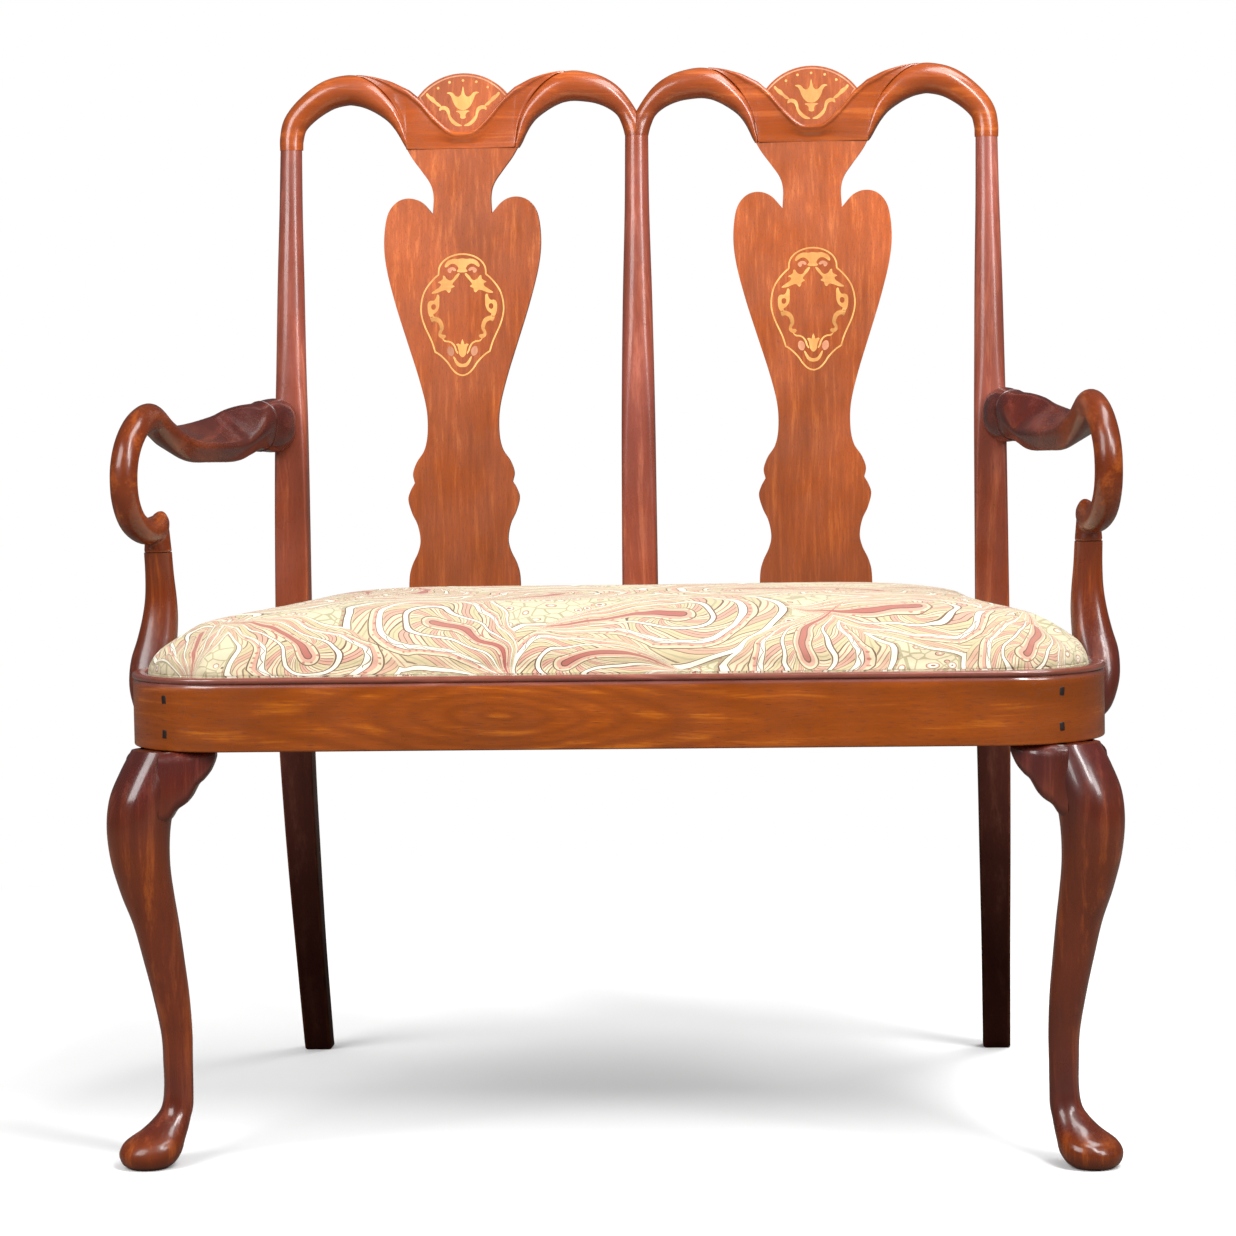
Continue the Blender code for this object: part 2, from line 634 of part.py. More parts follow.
def build_back_rail():
    half = POST_SPACING - POST_WIDTH / 2 - GAP
    low = RAIL_TOP - RAIL_HEIGHT
    front = BACK_Y - BACK_RAIL_REACH
    mesh = block("back_rail", (-half, front, low), (half, front + BACK_RAIL_THICKNESS, RAIL_TOP))
    rail = show("back_rail", mesh, DARK_WOOD, smooth=False)
    step = block("rebate", (-half - OVERRUN, front - OVERRUN, RAIL_TOP - REBATE_DEPTH),
                 (half + OVERRUN, BACK_Y - GAP, RAIL_TOP + OVERRUN))
    combine(rail, as_cutter("back_rail_rebate", step))
    for word, side in SIDES:
        combine(rail, as_cutter(f"tenon_rear_{word}", rear_rail_tenon("tenon", side, 0)), "UNION")
    combine(rail, as_cutter("stile_mortise", centre_tenon("stile_mortise", GAP)))


def post_rows():
    rows = []
    for height, width, depth, roundness in POST_SHARES:
        z = height * CREST_JOINT
        splay = POST_SPLAY * max(KICK_TOP - z, 0) / KICK_TOP
        half_depth = depth * POST_DEPTH / 2
        rows.append((POST_SPACING + splay, back_front(z) + half_depth, z, width * POST_WIDTH / 2, half_depth,
                     roundness))
    return rows


def post_dowel(name, side, grow):
    y = back_front(CREST_JOINT) + POST_DEPTH * POST_SHARES[-1][2] / 2
    return rod(name, (side * POST_SPACING, y, CREST_JOINT - DOWEL_LENGTH),
               (side * POST_SPACING, y, CREST_JOINT + DOWEL_LENGTH + grow), DOWEL_RADIUS + grow)


def build_rear_post(word, side):
    post = show(f"rear_post_{word}", loft(f"rear_post_{word}", level_rings(post_rows(), side)), DARK_WOOD)
    combine(post, as_cutter(f"post_dowel_{word}", post_dowel("post_dowel", side, 0)), "UNION")
    combine(post, as_cutter(f"mortise_side_{word}", back_tenon("mortise", side, GAP)))
    combine(post, as_cutter(f"mortise_back_{word}", rear_rail_tenon("mortise", side, GAP)))
    head, tip = arm_screw(side)
    combine(post, as_cutter(f"screw_hole_post_{word}", screw_hole(head, tip)))


def centre_tenon(name, grow):
    depth = CENTRE_DEPTH / 4 + grow
    width = CENTRE_WIDTH / 4 + grow
    middle = BACK_Y + CENTRE_DEPTH / 4
    return block(name, (-width, middle - depth, RAIL_TOP - STILE_TENON - grow),
                 (width, middle + depth, RAIL_TOP + OVERRUN))


def build_centre_stile():
    rows = []
    low = RAIL_TOP + GAP
    for height, width, depth, roundness in CENTRE_SHARES:
        z = low + height * (CENTRE_JOINT - low)
        half_depth = depth * CENTRE_DEPTH / 2
        rows.append((0, back_front(z) + half_depth, z, width * CENTRE_WIDTH / 2, half_depth, roundness))
    stile = show("centre_stile", loft("centre_stile", level_rings(rows, 1)), MAHOGANY)
    combine(stile, as_cutter("centre_tenon", centre_tenon("centre_tenon", 0)), "UNION")


def crest_y(z):
    return back_front(z) + CREST_DEPTH / 2


def rod_rows(shares, start_x, start_z, end_x):
    rows = []
    top = HOOP_TOP - ROD_RADIUS
    for across, height, radius in smooth_rows(shares, 2):
        z = start_z + height * (top - start_z)
        r = radius * ROD_RADIUS
        rows.append((start_x + across * (end_x - start_x), crest_y(z), z, r, r, 1.0, 0.0))
    return rows


def saddle_rows(reach, lift=0.0):
    """Half of the saddle, from its dip at the middle of the unit out to the top of a hoop."""
    rows = []
    for across, drop, under, depth in SADDLE_SHARES:
        x = UNIT_X + across * reach
        top = HOOP_TOP - drop * SADDLE_DIP + lift
        bottom = SPLAT_JOINT + GAP + under * (HOOP_TOP - SPLAT_JOINT)
        rows.append((x, top, min(bottom, top - GAP), depth * CREST_DEPTH / 2))
    return rows


def saddle_mesh(name, side, lift=0.0):
    inner = saddle_rows(-HOOP_INNER_REACH, lift)
    outer = saddle_rows(HOOP_REACH, lift)
    rings = []
    for x, top, bottom, half_depth in inner[:0:-1] + outer:
        half = (top - bottom) / 2
        middle = (top + bottom) / 2
        rings.append([Vector((side * x, crest_y(middle) + b, middle + a))
                      for a, b in section(half, half_depth, SADDLE_ROUNDNESS)])
    return loft(name, rings)


def crest_outer_rod(name, side):
    end = UNIT_X + SADDLE_HALF_WIDTH * ROD_END_SHARE
    rows = rod_rows(OUTER_ROD_SHARES, POST_SPACING, CREST_JOINT + GAP, end)
    return loft(name, level_start(path_rings(rows, side), CREST_JOINT + GAP))


def crest_inner_rod(name, side):
    end = UNIT_X - SADDLE_HALF_WIDTH * ROD_END_SHARE
    rows = rod_rows(INNER_ROD_SHARES, 0, CENTRE_JOINT + GAP, end)
    return loft(name, level_start(path_rings(rows, side), CENTRE_JOINT + GAP))


def level_start(rings, z):
    """Rings whose first one lies level, for a square joint."""
    rings[0] = [Vector((p.x, p.y, z)) for p in rings[0]]
    return rings


def build_crest(word, side):
    """One crest unit: the saddle, with a rod to the outer post and a rod to the centre stile."""
    crest = show(f"crest_{word}", saddle_mesh(f"crest_{word}", side), RAIL_WOOD)
    combine(crest, as_cutter(f"crest_outer_rod_{word}", crest_outer_rod("outer_rod", side)), "UNION")
    combine(crest, as_cutter(f"crest_inner_rod_{word}", crest_inner_rod("inner_rod", side)), "UNION")
    over = CREST_DEPTH
    xs = sorted((-side * over, side * GAP / 2))
    half = block("half", (xs[0], back_front(CENTRE_JOINT) - over, CENTRE_JOINT - over),
                 (xs[1], back_front(HOOP_TOP) + 2 * over, HOOP_TOP + over))
    combine(crest, as_cutter(f"crest_meeting_{word}", half))
    combine(crest, as_cutter(f"crest_bore_{word}", post_dowel("crest_bore", side, GAP)))
    combine(crest, as_cutter(f"crest_slot_{word}", tongue(side, GAP)))


def tongue(side, grow):
    """The splat's tongue into the underside of the crest."""
    middle = back_front(SPLAT_JOINT) + SPLAT_SETBACK + SPLAT_THICKNESS / 2
    half = TONGUE_THICKNESS / 2 + grow
    xs = (side * UNIT_X - TONGUE_HALF_WIDTH - grow, side * UNIT_X + TONGUE_HALF_WIDTH + grow)
    return block("tongue", (xs[0], middle - half, SPLAT_JOINT - SPLAT_TONGUE),
                 (xs[1], middle + half, SPLAT_JOINT + SPLAT_TONGUE + grow))


def fan_outline():
    """The fan: a round top over straight sides that run down into the saddle's dip."""
    side_z = HOOP_TOP - FAN_SIDE_DROP
    radius = (FAN_HALF_WIDTH ** 2 + FAN_RISE ** 2) / (2 * FAN_RISE)
    half_angle = math.asin(FAN_HALF_WIDTH / radius)
    top = []
    for k in range(FAN_STEPS + 1):
        angle = half_angle * (1 - 2 * k / FAN_STEPS)
        top.append((radius * math.sin(angle), side_z + FAN_RISE - radius + radius * math.cos(angle)))
    bottom = HOOP_TOP - SADDLE_DIP - FAN_FOOT
    return top + [(-FAN_HALF_WIDTH / 2, bottom), (FAN_HALF_WIDTH / 2, bottom)]


def build_fan(word, side):
    mesh = slab(f"crest_fan_{word}", fan_outline(), FAN_THICKNESS)
    lean = math.atan2(crest_y(HOOP_TOP) - crest_y(SPLAT_JOINT), HOOP_TOP - SPLAT_JOINT)
    stand = Matrix.Rotation(math.pi / 2, 4, "X")
    mesh = moved(mesh, stand)
    for vertex in mesh.vertices:
        vertex.co.y += back_front(HOOP_TOP - SADDLE_DIP) + FAN_SETBACK + FAN_THICKNESS / 2
        vertex.co.y += (vertex.co.z - (HOOP_TOP - SADDLE_DIP)) * math.tan(lean)
        vertex.co.x += side * UNIT_X
    fan = show(f"crest_fan_{word}", mesh, SPLAT_WOOD, smooth=False)
    combine(fan, as_cutter(f"fan_seat_{word}", saddle_mesh("fan_seat", side, GAP)))


def splat_outline():
    """The vase outline from its foot to the crest, as a closed curve of both halves."""
    low = RAIL_TOP + SHOE_HEIGHT - SHOE_SLOT + GAP
    high = SPLAT_JOINT
    rise = high - low
    half = [(share * SPLAT_HALF_WIDTH, low + height * rise, sharp) for share, height, sharp in SPLAT_SHARES]
    return half + [(-x, z, sharp) for x, z, sharp in reversed(half)]


def build_splat(word, side):
    curve = bpy.data.curves.new(f"splat_{word}", "CURVE")
    curve.dimensions = "2D"
    curve.fill_mode = "BOTH"
    curve.extrude = SPLAT_THICKNESS / 2
    curve.resolution_u = SPLAT_CURVE_STEPS
    outline = splat_outline()
    spline = curve.splines.new("BEZIER")
    spline.bezier_points.add(len(outline) - 1)
    for point, (x, z, sharp) in zip(spline.bezier_points, outline):
        point.co = (x, z, 0)
        point.handle_left_type = point.handle_right_type = "VECTOR" if sharp else "AUTO"
    spline.use_cyclic_u = True
    mesh = moved(evaluated_mesh(f"splat_{word}", curve), Matrix.Rotation(math.pi / 2, 4, "X"))
    bm = bmesh.new()
    bm.from_mesh(mesh)
    low = RAIL_TOP + SHOE_HEIGHT
    for k in range(SPLAT_LEVELS):
        z = low + (SPLAT_JOINT - low) * k / SPLAT_LEVELS
        everything = bm.verts[:] + bm.edges[:] + bm.faces[:]
        bmesh.ops.bisect_plane(bm, geom=everything, plane_co=(0, 0, z), plane_no=(0, 0, 1), dist=WELD)
    for vertex in bm.verts:
        spoon = back_front(max(vertex.co.z, low))
        vertex.co.y += spoon + SPLAT_SETBACK + SPLAT_THICKNESS / 2
        vertex.co.x += side * UNIT_X
    bm.to_mesh(mesh)
    bm.free()
    splat = show(f"splat_{word}", mesh, SPLAT_WOOD, smooth=False)
    combine(splat, as_cutter(f"splat_tongue_{word}", tongue(side, 0)), "UNION")


def build_shoe(word, side):
    """The shoe that holds a splat's foot on the back rail."""
    middle = side * UNIT_X
    mesh = block(f"splat_shoe_{word}", (middle - SHOE_HALF_LENGTH, BACK_Y, RAIL_TOP + GAP),
                 (middle + SHOE_HALF_LENGTH, BACK_Y + SHOE_DEPTH, RAIL_TOP + SHOE_HEIGHT))
    shoe = show(f"splat_shoe_{word}", mesh, DARK_WOOD, smooth=False)
    soften = shoe.modifiers.new("top_edges", "BEVEL")
    soften.width = SHOE_ROUND
    soften.segments = SHOE_STEPS
    soften.limit_method = "WEIGHT"
    weights = mesh.attributes.new("bevel_weight_edge", "FLOAT", "EDGE")
    top = RAIL_TOP + SHOE_HEIGHT - GAP
    for edge in mesh.edges:
        if all(mesh.vertices[v].co.z > top for v in edge.vertices):
            weights.data[edge.index].value = 1.0
    foot = RAIL_TOP + SHOE_HEIGHT
    y = back_front(foot) + SPLAT_SETBACK
    half = SPLAT_SHARES[0][0] * SPLAT_HALF_WIDTH + SLOT_PLAY
    slot = block("slot", (middle - half, y - GAP, foot - SHOE_SLOT),
                 (middle + half, y + SPLAT_THICKNESS + GAP, foot + OVERRUN))
    combine(shoe, as_cutter(f"shoe_slot_{word}", slot))


def arm_rows():
    """The arm from the post: a flat tilted elbow, then a round crook, down and back to the support."""
    start_y = back_front(ARM_STILE_Z)
    rows = []
    for along, across, swing, half_width, half_height, roundness, tilt in ARM_SHARES:
        y = start_y + along * (CROOK_FRONT - start_y)
        x = ARM_STILE_X + across * (CROOK_X - ARM_STILE_X)
        z = ARM_STILE_Z + swing * ARM_SWING
        rows.append((x, y, z, half_width * ARM_END_WIDTH, half_height * ARM_END_HEIGHT, roundness,
                     tilt * ELBOW_TILT))
    tilt = rows[-1][-1]
    for forward, across, height, radius in CROOK_SHARES:
        y = SUPPORT_Y + forward * (CROOK_FRONT - SUPPORT_Y)
        x = ARM_STILE_X + across * (CROOK_X - ARM_STILE_X)
        z = SUPPORT_TOP + height * (CROOK_TOP - SUPPORT_TOP)
        r = radius * CROOK_RADIUS
        rows.append((x, y, z, r, r, 1.0, tilt))
    return smooth_rows(rows, 2)


def support_rows():
    rows = []
    for height, across, forward, half_width, half_depth in SUPPORT_SHARES:
        z = SUPPORT_FOOT + height * (SUPPORT_TOP - GAP - SUPPORT_FOOT)
        x = SUPPORT_X + across * SUPPORT_BULGE
        y = SUPPORT_Y + forward * (CROOK_FRONT - SUPPORT_Y) * SUPPORT_LEAN
        rows.append((x, y, z, half_width * SUPPORT_WIDTH, half_depth * SUPPORT_DEPTH, SUPPORT_ROUNDNESS))
    return rows


def heel_rows():
    """The foot of the arm, which stands on the support."""
    x, y, _, half_width, half_depth, roundness = support_rows()[0]
    top = SUPPORT_TOP + HEEL_RISE
    return [(x, y, SUPPORT_TOP, half_width, half_depth, roundness),
            (x, y, top, half_width * HEEL_TAPER, half_depth * HEEL_TAPER, roundness)]


def arm_dowel_line(side):
    x, y = support_rows()[0][:2]
    half = ARM_DOWEL_LENGTH / 2
    return (side * x, y, SUPPORT_TOP - half), (side * x, y, SUPPORT_TOP + half)


def arm_screw(side):
    """The screw from behind the post into the arm: its head's face and its tip."""
    x = side * ARM_STILE_X
    back = back_front(ARM_STILE_Z) + POST_DEPTH - ARM_SCREW_SINK
    return Vector((x, back, ARM_STILE_Z)), Vector((x, back - ARM_SCREW_LENGTH, ARM_STILE_Z))


def support_screws(side):
    """Two screws from inside the side rail into the support's foot."""
    result = {}
    inner = RAIL_THICKNESS - SCREW_HEAD_HEIGHT
    for word, drop, forward in SUPPORT_SCREW_SHARES:
        y = SUPPORT_Y + forward * (CROOK_FRONT - SUPPORT_Y)
        place, inward = side_station(y)
        out = Vector((math.cos(SIDE_TAPER), math.sin(SIDE_TAPER)))
        head = place - out * inner
        tip = head + out * SUPPORT_SCREW_LENGTH
        z = RAIL_TOP - drop * RAIL_HEIGHT
        result[word] = (Vector((side * head.x, head.y, z)), Vector((side * tip.x, tip.y, z)))
    return result


def screw_profile(length, grow, above=0):
    """Half of a countersunk screw's outline, from its head's face down to its tip at the origin."""
    r, head = SCREW_RADIUS + grow, SCREW_HEAD_RADIUS + grow
    neck = length - SCREW_HEAD_HEIGHT
    face = length + grow + above
    shank = [(r, neck), (r, 2 * SCREW_RADIUS), (r / 2, 0), (0, -grow - WELD)]
    return [(0, face), (head, face), (head, length - WELD)] + shank


def turned(name, profile):
    """A turned shape: half its outline, at +X, swept about Z."""
    mesh = bpy.data.meshes.new(name)
    steps = list(zip(range(len(profile)), range(1, len(profile))))
    mesh.from_pydata([(x, 0, z) for x, z in profile], steps, [])

    def sweep(guide):
        turn = guide.modifiers.new("sweep", "SCREW")
        turn.steps = turn.render_steps = DOWEL_SIDES
        turn.use_merge_vertices = True
        turn.merge_threshold = WELD

    return evaluated_mesh(name, mesh, sweep)


def screw_place(head, tip):
    turn = (head - tip).to_track_quat("Z", "Y").to_matrix().to_4x4()
    return Matrix.Translation(tip) @ turn


def screw_hole(head, tip):
    """A hole for a screw, with room for its head out to the open side."""
    profile = screw_profile((head - tip).length, GAP, OVERRUN)
    return moved(turned("screw_hole", profile), screw_place(head, tip))


def build_screw(name, head, tip):
    mesh = moved(turned(name, screw_profile((head - tip).length, 0)), screw_place(head, tip))
    show(name, mesh, STEEL)


def grown_post(side):
    return loft("grown_post", level_rings(post_rows(), side, GAP))


def build_arm(word, side):
    arm = show(f"arm_{word}", loft(f"arm_{word}", path_rings(arm_rows(), side)), MAHOGANY)
    combine(arm, as_cutter(f"arm_heel_{word}", loft("heel", level_rings(heel_rows(), side))), "UNION")
    combine(arm, as_cutter(f"post_scribe_{word}", grown_post(side)))
    start, end = arm_dowel_line(side)
    hole = rod("arm_dowel_hole", (start[0], start[1], start[2] - GAP), (end[0], end[1], end[2] + GAP),
               ARM_DOWEL_RADIUS + GAP)
    combine(arm, as_cutter(f"arm_dowel_hole_{word}", hole))
    show(f"arm_dowel_{word}", rod(f"arm_dowel_{word}", start, end, ARM_DOWEL_RADIUS), BEECH)
    head, tip = arm_screw(side)
    combine(arm, as_cutter(f"arm_screw_hole_{word}", screw_hole(head, tip)))
    build_screw(f"arm_screw_{word}", head, tip)


def grown_side_rail(side):
    """A block over the side rail's space, to scribe a support to its outer face."""
    bottom = RAIL_TOP - RAIL_HEIGHT - GAP
    start, end = shifted(arc_station(SIDE_TAPER), -OVERRUN), side_station(BACK_Y)
    rings = []
    for place, inward in (start, end):
        ring = []
        for inset, z in ((-GAP - LIP_PROUD, bottom), (-GAP - LIP_PROUD, RAIL_TOP + GAP),
                         (RAIL_THICKNESS, RAIL_TOP + GAP), (RAIL_THICKNESS, bottom)):
            p = place + inward * inset
            ring.append(Vector((side * p.x, p.y, z)))
        rings.append(ring)
    return loft("rail_space", rings)


def build_support(word, side):
    mesh = loft(f"arm_support_{word}", level_rings(support_rows(), side))
    support = show(f"arm_support_{word}", mesh, MAHOGANY)
    combine(support, as_cutter(f"support_scribe_{word}", grown_side_rail(side)))
    start, end = arm_dowel_line(side)
    hole = rod("support_dowel_hole", (start[0], start[1], start[2] - GAP), (end[0], end[1], end[2] + GAP),
               ARM_DOWEL_RADIUS + GAP)
    combine(support, as_cutter(f"support_dowel_hole_{word}", hole))
    for screw_word, (head, tip) in support_screws(side).items():
        combine(support, as_cutter(f"support_screw_hole_{screw_word}_{word}", screw_hole(head, tip)))
        build_screw(f"support_screw_{screw_word}_{word}", head, tip)


def leg_rows():
    axis, out = leg_axis()
    height = RAIL_TOP - RAIL_HEIGHT - GAP
    rows = []
    for share, knee, foot, ankle, radius, roundness in LEG_SHARES:
        reach = knee * KNEE_OUT + foot * FOOT_OUT - ankle * ANKLE_IN
        pad = min(foot, 1)
        r = radius * (KNEE_RADIUS + pad * (PAD_RADIUS - KNEE_RADIUS))
        rows.append((axis.x + out.x * reach, axis.y + out.y * reach, share * height, r, r, roundness))
    return rows


def leg_rings(side, grow=0.0):
    """Level rings of the leg, turned to face the corner."""
    rings = []
    for x, y, z, w, d, r in leg_rows():
        ring = []
        for a, b in section(w + grow, d + grow, r):
            ring.append(Vector((side * (x + (a + b) * math.sqrt(0.5)), y + (b - a) * math.sqrt(0.5), z)))
        rings.append(ring)
    return rings


def build_leg(word, side):
    leg = show(f"front_leg_{word}", loft(f"front_leg_{word}", leg_rings(side)), MAHOGANY)
    combine(leg, as_cutter(f"leg_tenon_{word}", leg_tenon("leg_tenon", side, 0)), "UNION")


def bracket_rings(side, face):
    """A knee bracket under the rail, along the front or, mirrored in the diagonal, along the side."""
    axis, _ = leg_axis()
    top = RAIL_TOP - RAIL_HEIGHT - GAP
    rings = []
    for along, drop, half_depth, set_in in BRACKET_SHARES:
        a = axis.x - ARC_X - along * BRACKET_LENGTH
        b = CORNER_RADIUS - set_in * BRACKET_DEPTH
        half_height = drop * BRACKET_HEIGHT / 2
        ring = []
        for p, q in section(half_height, half_depth * BRACKET_DEPTH, BRACKET_ROUNDNESS):
            below = half_height - p
            out = b + q + below * BRACKET_LEAN
            offset = (a, -out) if face == "front" else (out, -a)
            ring.append(Vector((side * (ARC_X + offset[0]), ARC_Y + offset[1], top - below)))
        rings.append(ring)
    return rings


def build_brackets(word, side):
    for face in ("front", "side"):
        name = f"knee_bracket_{face}_{word}"
        bracket = show(name, loft(name, bracket_rings(side, face)), MAHOGANY)
        combine(bracket, as_cutter(f"leg_space_{face}_{word}", loft("leg_space", leg_rings(side, GAP))))


def build_corner_blocks(word, side):
    """Glue blocks in the seat's corners, under the slip seat."""
    top = RAIL_TOP - REBATE_DEPTH - TENON_SHOULDER / 2
    inner = RAIL_THICKNESS + GAP
    stations = corner_stations()
    arc = [place + inward * inner for place, inward in stations]
    outline = arc + [arc[-1] + Vector((-BLOCK_LEG, 0)), arc[0] + Vector((0, BLOCK_LEG))]
    front = moved(slab(f"corner_block_front_{word}", [(side * p.x, p.y) for p in outline], BLOCK_HEIGHT),
                  Matrix.Translation((0, 0, top - BLOCK_HEIGHT / 2)))
    show(f"corner_block_front_{word}", front, BEECH, smooth=False)
    back = BACK_Y - BACK_RAIL_REACH - GAP
    place, inward = side_station(back)
    corner = place + inward * inner
    along = Vector((math.sin(SIDE_TAPER), -math.cos(SIDE_TAPER))) * BLOCK_LEG
    outline = [corner, corner + along, corner + Vector((-BLOCK_LEG, 0))]
    rear = moved(slab(f"corner_block_rear_{word}", [(side * p.x, p.y) for p in outline], BLOCK_HEIGHT),
                 Matrix.Translation((0, 0, top - BLOCK_HEIGHT / 2)))
    show(f"corner_block_rear_{word}", rear, BEECH, smooth=False)


SLIP_INSET = LIP_WIDTH + SLIP_CLEARANCE
SLIP_BACK = BACK_Y - SLIP_CLEARANCE
SLIP_LOW = RAIL_TOP - REBATE_DEPTH + GAP
SLIP_HIGH = SLIP_LOW + SLIP_THICKNESS


def slip_member(name, outline, finish, low, high):
    mesh = slab(name, [(p[0], p[1]) for p in outline], high - low)
    return show(name, moved(mesh, Matrix.Translation((0, 0, (low + high) / 2))), finish, smooth=False)


def build_slip_frame():
    """Four members butted at the corners, and a bar between the front one and the back one."""
    inner = SLIP_INSET + SLIP_MEMBER
    outer_arc = [place + inward * SLIP_INSET for place, inward in corner_stations()]
    front_back_y = FRONT_Y + inner
    right = [p for p in outer_arc if p.y <= front_back_y] + [edge_at(outer_arc, front_back_y)]
    left = [Vector((-p.x, p.y)) for p in reversed(right)]
    slip_member("slip_front_member", left + right, BEECH, SLIP_LOW, SLIP_HIGH)
    side_front = front_back_y + GAP
    side_back = SLIP_BACK - SLIP_MEMBER - GAP
    for word, side in SIDES:
        outer = [edge_at(outer_arc, side_front)] + [p for p in outer_arc if p.y > side_front]
        end, end_in = side_station(side_back)
        outer.append(end + end_in * SLIP_INSET)
        inside_back = end + end_in * inner
        inside_x = inside_back.x + (side_back - side_front) * math.tan(SIDE_TAPER)
        outline = outer + [inside_back, Vector((min(inside_x, ARC_X), side_front))]
        own_side = [(side * p.x, p.y) for p in outline]
        slip_member(f"slip_side_member_{word}", own_side, BEECH, SLIP_LOW, SLIP_HIGH)
    front_end, inward = side_station(side_back + GAP)
    back_end, _ = side_station(SLIP_BACK)
    a, b = front_end + inward * SLIP_INSET, back_end + inward * SLIP_INSET
    outline = [(-b.x, b.y), (-a.x, a.y), (a.x, a.y), (b.x, b.y)]
    slip_member("slip_back_member", outline, BEECH, SLIP_LOW, SLIP_HIGH)
    half = BAR_WIDTH / 2
    bar = [(-half, side_front), (half, side_front), (half, side_back), (-half, side_back)]
    slip_member("slip_centre_bar", bar, BEECH, SLIP_LOW, SLIP_HIGH)


def edge_at(points, y):
    """Where a line through points that rise in y crosses a level."""
    for a, b in zip(points, points[1:]):
        if a.y <= y <= b.y:
            return a + (b - a) * ((y - a.y) / (b.y - a.y))
    return points[-1]


def build_soft_seat():
    """Webbing on the slip frame, the stuffed and covered pad over it, and the cloth below."""
    web_low = SLIP_HIGH + GAP
    web = seat_outline(SLIP_INSET + WEB_INSET, SLIP_BACK - WEB_INSET)
    slip_member("seat_webbing", web, WEBBING, web_low, web_low + WEB_THICKNESS)
    cloth = seat_outline(RAIL_THICKNESS + WEB_INSET, SLIP_BACK - BACK_RAIL_REACH - WEB_INSET)
    slip_member("dust_cloth", cloth, CAMBRIC, SLIP_LOW - GAP - CLOTH_THICKNESS, SLIP_LOW - GAP)
    edge = finer(seat_outline(SLIP_INSET, SLIP_BACK))
    middle = Vector((0, (FRONT_Y + BACK_Y) / 2))
    low = web_low + WEB_THICKNESS + GAP
    waist = 1 - CUSHION_DRAW / (SEAT_HALF_WIDTH - SLIP_INSET)
    levels = [(waist, low), (1, low + CUSHION_SIDE)]
    levels += [(scale, low + share * CUSHION_CROWN) for scale, share in CUSHION_SHARES]
    rings = []
    for scale, z in levels:
        rings.append([(*(middle + (p - middle) * scale), z) for p in edge])
    show("seat_cushion", loft("seat_cushion", rings), PAISLEY)


def finer(edge):
    """The seat's edge with points along its straight front and back too."""
    result = []
    for a, b in zip(edge, edge[1:] + edge[:1]):
        parts = max(1, round((b - a).length / CORNER_RADIUS))
        result += [a + (b - a) * k / parts for k in range(parts)]
    return result


build_front_rail()
build_back_rail()
build_centre_stile()
for side_word, side_sign in SIDES:
    build_side_rail(side_word, side_sign)
    build_rear_post(side_word, side_sign)
    build_crest(side_word, side_sign)
    build_fan(side_word, side_sign)
    build_splat(side_word, side_sign)
    build_shoe(side_word, side_sign)
    build_arm(side_word, side_sign)
    build_support(side_word, side_sign)
    build_leg(side_word, side_sign)
    build_brackets(side_word, side_sign)
    build_corner_blocks(side_word, side_sign)
build_slip_frame()
build_soft_seat()
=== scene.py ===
import math

import bmesh
import bpy
import numpy as np
from mathutils import Matrix, Vector


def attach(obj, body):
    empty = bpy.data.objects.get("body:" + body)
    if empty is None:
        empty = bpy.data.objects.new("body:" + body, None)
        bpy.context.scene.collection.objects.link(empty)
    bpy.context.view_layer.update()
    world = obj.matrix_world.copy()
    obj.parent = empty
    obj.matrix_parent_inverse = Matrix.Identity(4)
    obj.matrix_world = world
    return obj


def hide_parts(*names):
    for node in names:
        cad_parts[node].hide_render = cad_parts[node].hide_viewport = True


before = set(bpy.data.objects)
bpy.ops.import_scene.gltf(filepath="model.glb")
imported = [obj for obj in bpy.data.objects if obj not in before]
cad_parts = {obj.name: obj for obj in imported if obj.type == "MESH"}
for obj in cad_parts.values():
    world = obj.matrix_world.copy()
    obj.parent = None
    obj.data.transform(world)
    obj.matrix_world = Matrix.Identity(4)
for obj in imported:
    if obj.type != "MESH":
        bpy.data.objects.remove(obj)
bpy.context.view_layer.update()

# The dressed settee: polished boards with grain, marquetry let into splats and fans, and a stuffed seat.
# Metres, in the row frame.

# Sizes that the part's source states or leads to. The tables below are its own or finer.
GAP = 0.0003
SEAT_HALF_WIDTH = 0.446
FRONT_Y = -0.299
BACK_Y = 0.143
CORNER_RADIUS = 0.095
SIDE_TAPER = math.radians(12.4)
RAIL_TOP = 0.449
RAIL_HEIGHT = 0.067
RAIL_THICKNESS = 0.03
LIP_WIDTH = 0.0125
LIP_HEIGHT = 0.0055
REBATE_DEPTH = 0.02
BACK_RAIL_REACH = 0.02
BACK_RAIL_THICKNESS = 0.036
POST_SPACING = 0.3545
POST_WIDTH = 0.034
POST_DEPTH = 0.029
POST_SPLAY = 0.004
LEG_KICK_DEPTH = 0.134
KICK_TOP = 0.37
KICK_POWER = 1.3
BACK_LEAN = 0.026
BACK_RAKE = 0.046
HOOP_TOP = 1.021
CREST_JOINT = 0.9445
CENTRE_WIDTH = 0.0355
CENTRE_DEPTH = 0.028
CENTRE_JOINT = 0.953
UNIT_X = POST_SPACING * 0.502
HOOP_REACH = 0.12
HOOP_INNER_REACH = 0.1145
ROD_RADIUS = 0.0155
CREST_DEPTH = 0.027
SADDLE_DIP = 0.061
ROD_END_REACH = 0.0441
FAN_HALF_WIDTH = 0.0464
FAN_SIDE_DROP = 0.0235
FAN_RISE = 0.0232
FAN_THICKNESS = 0.01
FAN_SETBACK = 0.0125
FAN_FOOT = 0.005
SPLAT_HALF_WIDTH = 0.08
